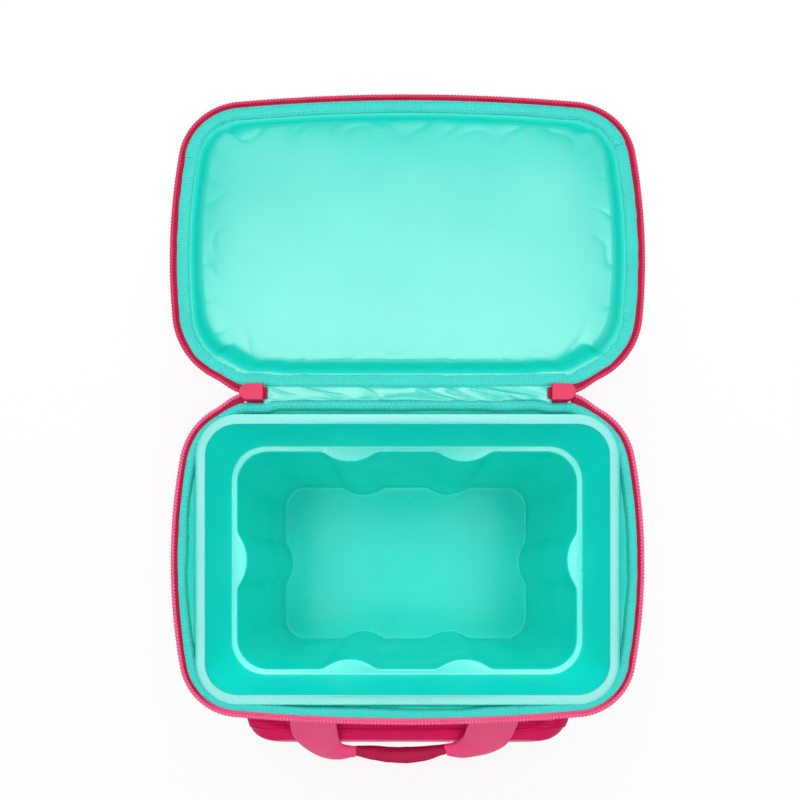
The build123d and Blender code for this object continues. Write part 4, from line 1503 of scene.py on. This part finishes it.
def wall_reach(x):
    """How far out the front wall's cloth is at x."""
    front = RIM.points[:, 1] < 0
    plan = RIM.points[front] - RIM.normals[front] * WALL_INSET
    order = np.argsort(plan[:, 0])
    return -np.interp(x, plan[order, 0], plan[order, 1])


class CARRIER_OT_pocket(bpy.types.Operator):
    """Make the front pocket: gusset with its ridges, piping, face and zip"""

    bl_idname = "carrier.pocket"
    bl_label = "Front Pocket"

    def execute(self, context):
        sizes = context.scene.carrier_sizes
        face = rounded_outline(POCKET_HIGH.x, POCKET_HALF_HEIGHT, POCKET_RADIUS, POCKET_MIDDLE)
        front = -POCKET_LOW.y - 1.4 * MM
        s = np.linspace(0, face.length, 420, endpoint=False)
        plan, _ = face.at(s)
        start = wall_reach(plan[:, :1]) - 1.4 * MM
        depth = np.linspace(0, 1, 60)
        out = start + (front - start) * depth
        ridge = RIDGE_HEIGHT * sum(
            np.exp(-((out - front - place) / RIDGE_WIDTH) ** 2) for place in RIDGE_PLACES
        )
        base = rings(face, on_front, s, 0.0, out)
        sag = 0.8 * MM * waves(base, 44 * MM, 91) + 0.9 * MM * creases(base, 30 * MM, 92)
        free = np.sin(math.pi * depth) ** 1.6
        inset = 0.9 * MM + (0.7 * MM + sag) * free - ridge
        points = rings(face, on_front, s, inset, out) * self.taper(depth)
        gusset = sheet_object(
            "pocket_gusset_cloth", points, CLOTH_THICKNESS, MATERIALS["pocket"], wrap_rows=True
        )
        dress(gusset, "carrier", "pocket_cloth", "pocket_gusset")

        wander = 0.2 * MM * waves(base[:, -1], 30 * MM, 93)
        cord = rings(
            face, on_front, s, (0.4 * MM + wander)[:, None], np.full((len(s), 1), front)
        )[:, 0] * self.taper(np.ones(1))[0]
        piping = tube(
            "pocket_piping", cord, sizes.piping_width / 2, MATERIALS["piping"],
            sides=12, closed=True,
        )
        dress(piping, "carrier", "piping", "pocket_welt")

        shares = np.concatenate([np.linspace(0.995, 0.9, 12), np.linspace(0.88, 0.0, 26)])
        middle = np.array([0.0, POCKET_MIDDLE])
        columns = []
        for share in shares:
            spot = middle + (plan - middle) * share
            flat = on_front(spot[:, 0], spot[:, 1], np.full(len(spot), front))
            crown = 2.4 * MM * (1 - share**3) + 0.6 * MM * waves(flat, 60 * MM, 94) * (1 - share)
            crown += 0.9 * MM * creases(flat, 52 * MM, 95) * (1 - share) * share * 4
            columns.append(on_front(spot[:, 0], spot[:, 1], front - 0.4 * MM + crown))
        points = np.stack(columns, 1) * self.taper(np.ones(len(shares)))
        inside_out = points[:, ::-1]
        panel = sheet_object(
            "pocket_face_cloth", inside_out, CLOTH_THICKNESS, MATERIALS["pocket"],
            wrap_rows=True, up=-grid_normals(inside_out),
        )
        dress(panel, "carrier", "pocket_cloth", "pocket_front_panel")
        rows = seam_rows(points, (0.0, -1.0, 0.0), POCKET_SEAMS)
        seams = stitches("pocket_stitches", rows, MATERIALS["pink_thread"], sizes)
        dress(seams, "carrier", "pocket_cloth")

        low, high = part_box("pocket_zip_tape")
        x = np.linspace(low.x, high.x, 200)[:, None]
        across = np.linspace(low.y, high.y, 10)[None, :]
        tape = sheet_object(
            "pocket_tape_strip", spread(x, across, high.z - 0.1 * MM), 0.7 * MM,
            MATERIALS["zip_tape"], up=(0, 0, 1),
        )
        dress(tape, "carrier", "zip_tape", "pocket_zip_tape")
        low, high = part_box("pocket_zip_coil")
        x = np.arange(low.x, high.x, COIL_PITCH / 6)[:, None]
        turn = np.linspace(0, 2 * math.pi, 10, endpoint=False)
        tooth = 0.7 + 0.3 * np.abs(np.sin(math.pi * (x - low.x) / COIL_PITCH)) ** 0.5
        y = (low.y + high.y) / 2 + (high.y - low.y) / 2 * tooth * np.cos(turn)
        z = (low.z + high.z) / 2 + (high.z - low.z) / 2 * tooth * np.sin(turn)
        coil = grid_object(
            "pocket_coil_teeth", spread(x, y, z), MATERIALS["coil"],
            wrap_columns=True, caps=True,
        )
        dress(coil, "carrier", "zip_coil", "pocket_zip_coil")
        return {"FINISHED"}

    def taper(self, depth):
        """The pocket bulges at its ends behind its face: factors on x, y and z at each depth."""
        wide = 0.955 + 0.135 * np.sqrt(1 - 0.97 * depth**3)
        return spread(wide, 1.0, 1.0)


HANDLE_ROOT = Vector((0.0, 107.8 * MM, 192.0 * MM))
HANDLE_SLOPE = math.radians(46)
# In millimetres on the loop, across and down it: the edges of each leg, then the grip's line
LEFT_OUTER = ((-81, 0), (-83.5, 12), (-83, 28), (-77, 44), (-68, 57), (-59, 62.5), (-50, 61), (-40, 54))
LEFT_INNER = ((-49, 0), (-50.5, 12), (-50.5, 28), (-49.5, 38), (-48, 42.5), (-45, 44.5), (-38, 46.5))
RIGHT_OUTER = ((78.5, 0), (78.5, 13), (76.5, 30), (72.5, 43), (63, 53), (50, 59.5), (34, 55))
RIGHT_INNER = ((46, 0), (43.5, 13), (41.5, 29), (37.5, 37), (34.5, 40), (32, 41.5), (28, 42.5))
GRIP_LINE = ((-49, 51), (-38, 50.5), (-26, 52), (-12, 55), (1, 55.5), (14, 53), (25, 49.5), (38, 46.5))
GRIP_SIZE = (2.4, 4.0, 5.6, 6.2, 6.3, 5.8, 4.4, 2.6)    # its radius at those points
HANDLE_ROWS = 120               # of points along the grip
STRAP_GRID = (90, 22)           # points along and across a leg


def on_loop(out, x, down, lift):
    """Points of a handle's loop: across, down it from its fold, and off its face."""
    x, down, lift = np.broadcast_arrays(np.asarray(x, float), down, lift)
    reach = HANDLE_ROOT.y + down * math.cos(HANDLE_SLOPE) + lift * math.sin(HANDLE_SLOPE)
    height = HANDLE_ROOT.z - down * math.sin(HANDLE_SLOPE) + lift * math.cos(HANDLE_SLOPE)
    return np.stack([x, out * reach, height], -1)


class CARRIER_OT_handles(bpy.types.Operator):
    """Make both handles: webbing legs, wrapped grip and sewn anchors"""

    bl_idname = "carrier.handles"
    bl_label = "Handles"

    def leg(self, name, out, outer, inner, thickness, seed):
        """One leg: a strap that turns in and gathers towards the grip."""
        rows, columns = STRAP_GRID
        t = np.linspace(0, 1, rows)[:, None]
        q = np.linspace(0, 1, columns)[None, :]
        far = smooth_curve(np.array(outer) * MM, rows)[:, None]
        near = smooth_curve(np.array(inner) * MM, rows)[:, None]
        plan = far + (near - far) * q[..., None]
        gather = smoothstep(t, 0.45, 1.0)
        arch = (0.5 * MM + 4.2 * MM * gather) * np.sin(math.pi * q)
        pleat = 1.0 * MM * gather * np.sin(3 * math.pi * q + 1.2 * t) * np.sin(math.pi * q)
        flat = on_loop(out, plan[..., 0], plan[..., 1], 0.0)
        wave = 0.5 * MM * waves(flat, 26 * MM, seed) * (0.3 + gather)
        roll = 1.6 * MM * (1 - smoothstep(t, 0.0, 0.05))
        lift = arch + pleat + wave * smoothstep(t, 0.02, 0.2) - roll
        points = on_loop(out, plan[..., 0], plan[..., 1], lift)
        foot, above = on_loop(out, 0.0, 0.0, np.array([0.0, 1.0]))
        return sheet_object(name, points, thickness, MATERIALS["webbing"], up=above - foot)

    def execute(self, context):
        sizes = context.scene.carrier_sizes
        for out, word, seed in ((-1, "front", 101), (1, "rear", 111)):
            body = f"{word}_handle"
            thickness = sizes.webbing_thickness
            left = self.leg(f"{word}_strap_left", out, LEFT_OUTER, LEFT_INNER, thickness, seed)
            dress(left, body, "webbing", f"{word}_handle_webbing")
            right = self.leg(
                f"{word}_strap_right", out, RIGHT_OUTER, RIGHT_INNER, thickness, seed + 1
            )
            dress(right, body, "webbing")
            self.grip(word, body, out, seed)
            self.anchors(word, out, sizes)
        return {"FINISHED"}

    def grip(self, word, body, out, seed):
        """The wrap: a soft tube with a sewn seam, drawn in and tucked under at its ends."""
        line = smooth_curve(np.array(GRIP_LINE) * MM, HANDLE_ROWS)
        radius = smooth_curve(np.array(GRIP_SIZE)[:, None] * MM, HANDLE_ROWS)
        ends = np.linspace(0, 1, HANDLE_ROWS)[:, None]
        radius = radius * (1 - 0.25 * np.exp(-ends / 0.02) - 0.25 * np.exp(-(1 - ends) / 0.02))
        turn = np.linspace(0, 2 * math.pi, 40, endpoint=False)
        across = np.cos(turn) * radius
        tuck = 3.6 * MM * (np.exp(-ends / 0.09) + np.exp(-(1 - ends) / 0.09))
        rise = np.sin(turn) * radius * 0.92 - tuck
        flat = on_loop(out, line[:, :1], line[:, 1:] + across, rise)
        crumple = 0.12 * MM * waves(flat, 11 * MM, seed + 2)
        crumple += 0.25 * MM * creases(flat, 20 * MM, seed + 3)
        seam = 0.9 * MM * np.exp(-((turn - math.pi / 2) / 0.09) ** 2)
        scale = 1 + (crumple - seam) / radius
        points = on_loop(
            out, line[:, :1], line[:, 1:] + across * scale, (rise + tuck) * scale - tuck
        )
        wrap = grid_object(
            f"{word}_grip_wrap", points, MATERIALS["grip"], wrap_columns=True, caps=True
        )
        dress(wrap, body, "grip_wrap", f"{word}_handle_grip")

    def anchors(self, word, out, sizes):
        """The patches of webbing sewn to the wall, each with a box and a cross of stitches."""
        margin = 4.5 * MM                   # from a patch's edge to its box of stitches
        outward = (0.0, float(out), 0.0)
        for hand in ("left", "right"):
            low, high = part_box(f"{word}_handle_anchor_{hand}")
            x = np.linspace(low.x, high.x, 26)[:, None]
            z = np.linspace(high.z, low.z, 28)[None, :]
            face = max(abs(low.y), abs(high.y))
            edge = np.minimum(np.minimum(x - low.x, high.x - x), np.minimum(z - low.z, high.z - z))
            soft = 0.7 * MM * (1 - smoothstep(edge, 0.0, 3.0 * MM))
            patch = sheet_object(
                f"{word}_anchor_{hand}", spread(x, out * (face - soft), z), 1.6 * MM,
                MATERIALS["webbing"], up=outward,
            )
            dress(patch, "carrier", "webbing", f"{word}_handle_anchor_{hand}")
            left, right = low.x + margin, high.x - margin
            foot, top = low.z + margin, high.z - margin
            corners = [(left, foot), (right, foot), (right, top), (left, top)]
            lines = [*zip(corners, corners[1:] + corners[:1]), corners[::2], corners[1::2]]
            rows = [
                (
                    spread(np.linspace(a[0], b[0], 12), out * face, np.linspace(a[1], b[1], 12)),
                    np.tile(outward, (12, 1)),
                )
                for a, b in lines
            ]
            cross = stitches(
                f"{word}_anchor_stitches_{hand}", rows, MATERIALS["pink_thread"], sizes
            )
            dress(cross, "carrier", "webbing")


# ------------------------------------------------------------------ the stage
CAMERA_PLACE = (-3.3 * MM, -4.9 * MM, 629 * MM)
CAMERA_LENS = 28.06             # in millimetres, on a sensor of 36
CAMERA_SHIFT = (-2.5 / 800, 170 / 800)
LAMP_HEIGHT = 1.72              # of every soft box, in metres as the lengths below are
LAMP_INNER, LAMP_OUTER = 0.33, 0.78
LAMP_RADIANCE = 2.8
REAR_WIDTH = 1.5
REAR_BANK = ((1.3, 3.2), (1.7, 2.3), (2.15, 1.1))      # where each one ends, and its radiance
FLOOR_HALF = 3.0


class CARRIER_OT_stage(bpy.types.Operator):
    """Make the camera, the soft lights, the pale floor and the world"""

    bl_idname = "carrier.stage"
    bl_label = "Stage"

    def execute(self, context):
        scene = context.scene
        scene.view_settings.view_transform = "Standard"
        camera = bpy.data.objects.new("camera", bpy.data.cameras.new("camera"))
        scene.collection.objects.link(camera)
        camera.location = CAMERA_PLACE
        camera.data.lens = CAMERA_LENS
        camera.data.sensor_width = 36.0
        camera.data.shift_x, camera.data.shift_y = CAMERA_SHIFT
        camera.data.clip_start = 0.01
        scene.camera = camera

        # Soft boxes: a square ring with a gap above the bag, and a bank that fades to the rear
        aside, away = (LAMP_OUTER - LAMP_INNER) / 2, (LAMP_INNER + LAMP_OUTER) / 2
        for k in range(4):
            turn = k * math.pi / 2
            x = aside * math.cos(turn) - away * math.sin(turn)
            y = aside * math.sin(turn) + away * math.cos(turn)
            self.soft_box(
                scene, f"soft_box_ring_{k}", (x, y, LAMP_HEIGHT), turn, 2 * away, 2 * aside,
                LAMP_RADIANCE,
            )
        near = LAMP_OUTER
        for k, (far, radiance) in enumerate(REAR_BANK):
            self.soft_box(
                scene, f"soft_box_rear_{k}", (0.0, (near + far) / 2, LAMP_HEIGHT), 0.0,
                REAR_WIDTH, far - near, radiance,
            )
            near = far

        floor = mesh_object(
            "floor", [(x * FLOOR_HALF, y * FLOOR_HALF, 0) for x, y in RING_CORNERS[::-1]],
            [[0, 1, 2, 3]], self.paper(),
        )
        floor.location.z = -0.3 * MM
        self.sky(scene)
        return {"FINISHED"}

    def soft_box(self, scene, name, place, turn, length, width, radiance):
        """A flat soft box that points straight down, as bright all over as radiance."""
        lamp = bpy.data.lights.new(name, "AREA")
        lamp.shape = "RECTANGLE"
        lamp.size, lamp.size_y = length, width
        lamp.energy = radiance * math.pi * length * width
        made = bpy.data.objects.new(name, lamp)
        scene.collection.objects.link(made)
        made.location = place
        made.rotation_euler = (0.0, 0.0, turn)

    def paper(self):
        """Matt white backdrop paper that looks white and still takes the bag's shadow."""
        material = bpy.data.materials.new("matt backdrop paper")
        material.use_nodes = True
        material.diffuse_color = linear("#f4f4f4")
        tree = material.node_tree
        shader = tree.nodes["Principled BSDF"]
        shader.inputs["Roughness"].default_value = 0.9
        place = node(tree, "ShaderNodeTexCoord").outputs["Object"]
        grain = node(
            tree, "ShaderNodeTexNoise", {"Vector": place, "Scale": 1 / (6 * MM), "Detail": 3.0}
        ).outputs["Fac"]
        tone = node(
            tree, "ShaderNodeMix", {0: grain, 6: linear("#efefef"), 7: linear("#f6f6f6")},
            data_type="RGBA",
        ).outputs[2]
        tree.links.new(tone, shader.inputs["Base Color"])
        rays = node(tree, "ShaderNodeLightPath")
        lit = node(
            tree, "ShaderNodeMath",
            {0: rays.outputs["Is Camera Ray"], 1: rays.outputs["Is Transmission Ray"]},
            operation="MAXIMUM",
        ).outputs[0]
        seen = node(
            tree, "ShaderNodeMath", {0: lit, 1: rays.outputs["Is Glossy Ray"]},
            operation="MAXIMUM",
        ).outputs[0]
        share = node(tree, "ShaderNodeMath", {0: seen, 1: 0.8}, operation="MULTIPLY").outputs[0]
        white = node(
            tree, "ShaderNodeEmission", {"Color": (1, 1, 1, 1), "Strength": 1.02}
        ).outputs[0]
        both = node(tree, "ShaderNodeMixShader", {0: share, 1: shader.outputs[0], 2: white})
        tree.links.new(both.outputs[0], tree.nodes["Material Output"].inputs["Surface"])
        return material

    def sky(self, scene):
        """A white surround, dimmer for the light it casts and near the horizon in gloss."""
        world = bpy.data.worlds.new("studio surround")
        world.use_nodes = True
        scene.world = world
        tree = world.node_tree
        tree.nodes.clear()
        rays = node(tree, "ShaderNodeLightPath")
        place = node(tree, "ShaderNodeTexCoord").outputs["Generated"]
        heading = node(tree, "ShaderNodeSeparateXYZ", {0: place}).outputs["Z"]
        overhead = node(
            tree, "ShaderNodeMapRange",
            {"Value": heading, "From Min": 0.0, "From Max": 1.0, "To Min": 0.25, "To Max": 0.7},
        ).outputs[0]
        seen = node(
            tree, "ShaderNodeMath",
            {0: rays.outputs["Is Camera Ray"], 1: rays.outputs["Is Transmission Ray"]},
            operation="MAXIMUM",
        ).outputs[0]
        dim = node(tree, "ShaderNodeMix", {0: rays.outputs["Is Glossy Ray"], 2: 0.4, 3: overhead})
        strength = node(tree, "ShaderNodeMix", {0: seen, 2: dim.outputs[0], 3: 1.0}).outputs[0]
        glow = node(
            tree, "ShaderNodeBackground", {"Color": (1, 1, 1, 1), "Strength": strength}
        )
        output = node(tree, "ShaderNodeOutputWorld")
        tree.links.new(glow.outputs[0], output.inputs["Surface"])


OPERATORS = (
    CARRIER_OT_materials, CARRIER_OT_stage, CARRIER_OT_walls, CARRIER_OT_lining,
    CARRIER_OT_tub, CARRIER_OT_rims, CARRIER_OT_lid, CARRIER_OT_hinge, CARRIER_OT_zip_ends,
    CARRIER_OT_filling, CARRIER_OT_pocket, CARRIER_OT_handles,
)


class CARRIER_PT_panel(bpy.types.Panel):
    """Lists the carrier's sizes, colours and steps"""

    bl_label = "Insulated Carrier"
    bl_idname = "CARRIER_PT_panel"
    bl_space_type = "VIEW_3D"
    bl_region_type = "UI"
    bl_category = "Carrier"

    def draw(self, context):
        layout = self.layout
        for group in (context.scene.carrier_sizes, context.scene.carrier_colours):
            box = layout.box()
            for name in group.__annotations__:
                box.prop(group, name)
        for operator in OPERATORS:
            layout.operator(operator.bl_idname)


CLASSES = (CarrierSizes, CarrierColours, *OPERATORS, CARRIER_PT_panel)


def register():
    """Add the classes and the scene's settings."""
    for made in CLASSES:
        bpy.utils.register_class(made)
    bpy.types.Scene.carrier_sizes = bpy.props.PointerProperty(type=CarrierSizes)
    bpy.types.Scene.carrier_colours = bpy.props.PointerProperty(type=CarrierColours)


def unregister():
    """Take them away again."""
    del bpy.types.Scene.carrier_colours
    del bpy.types.Scene.carrier_sizes
    for made in reversed(CLASSES):
        bpy.utils.unregister_class(made)


def main():
    """Dress the whole carrier."""
    register()
    for operator in OPERATORS:
        group, step = operator.bl_idname.split(".")
        getattr(getattr(bpy.ops, group), step)()


if __name__ == "__main__":
    main()
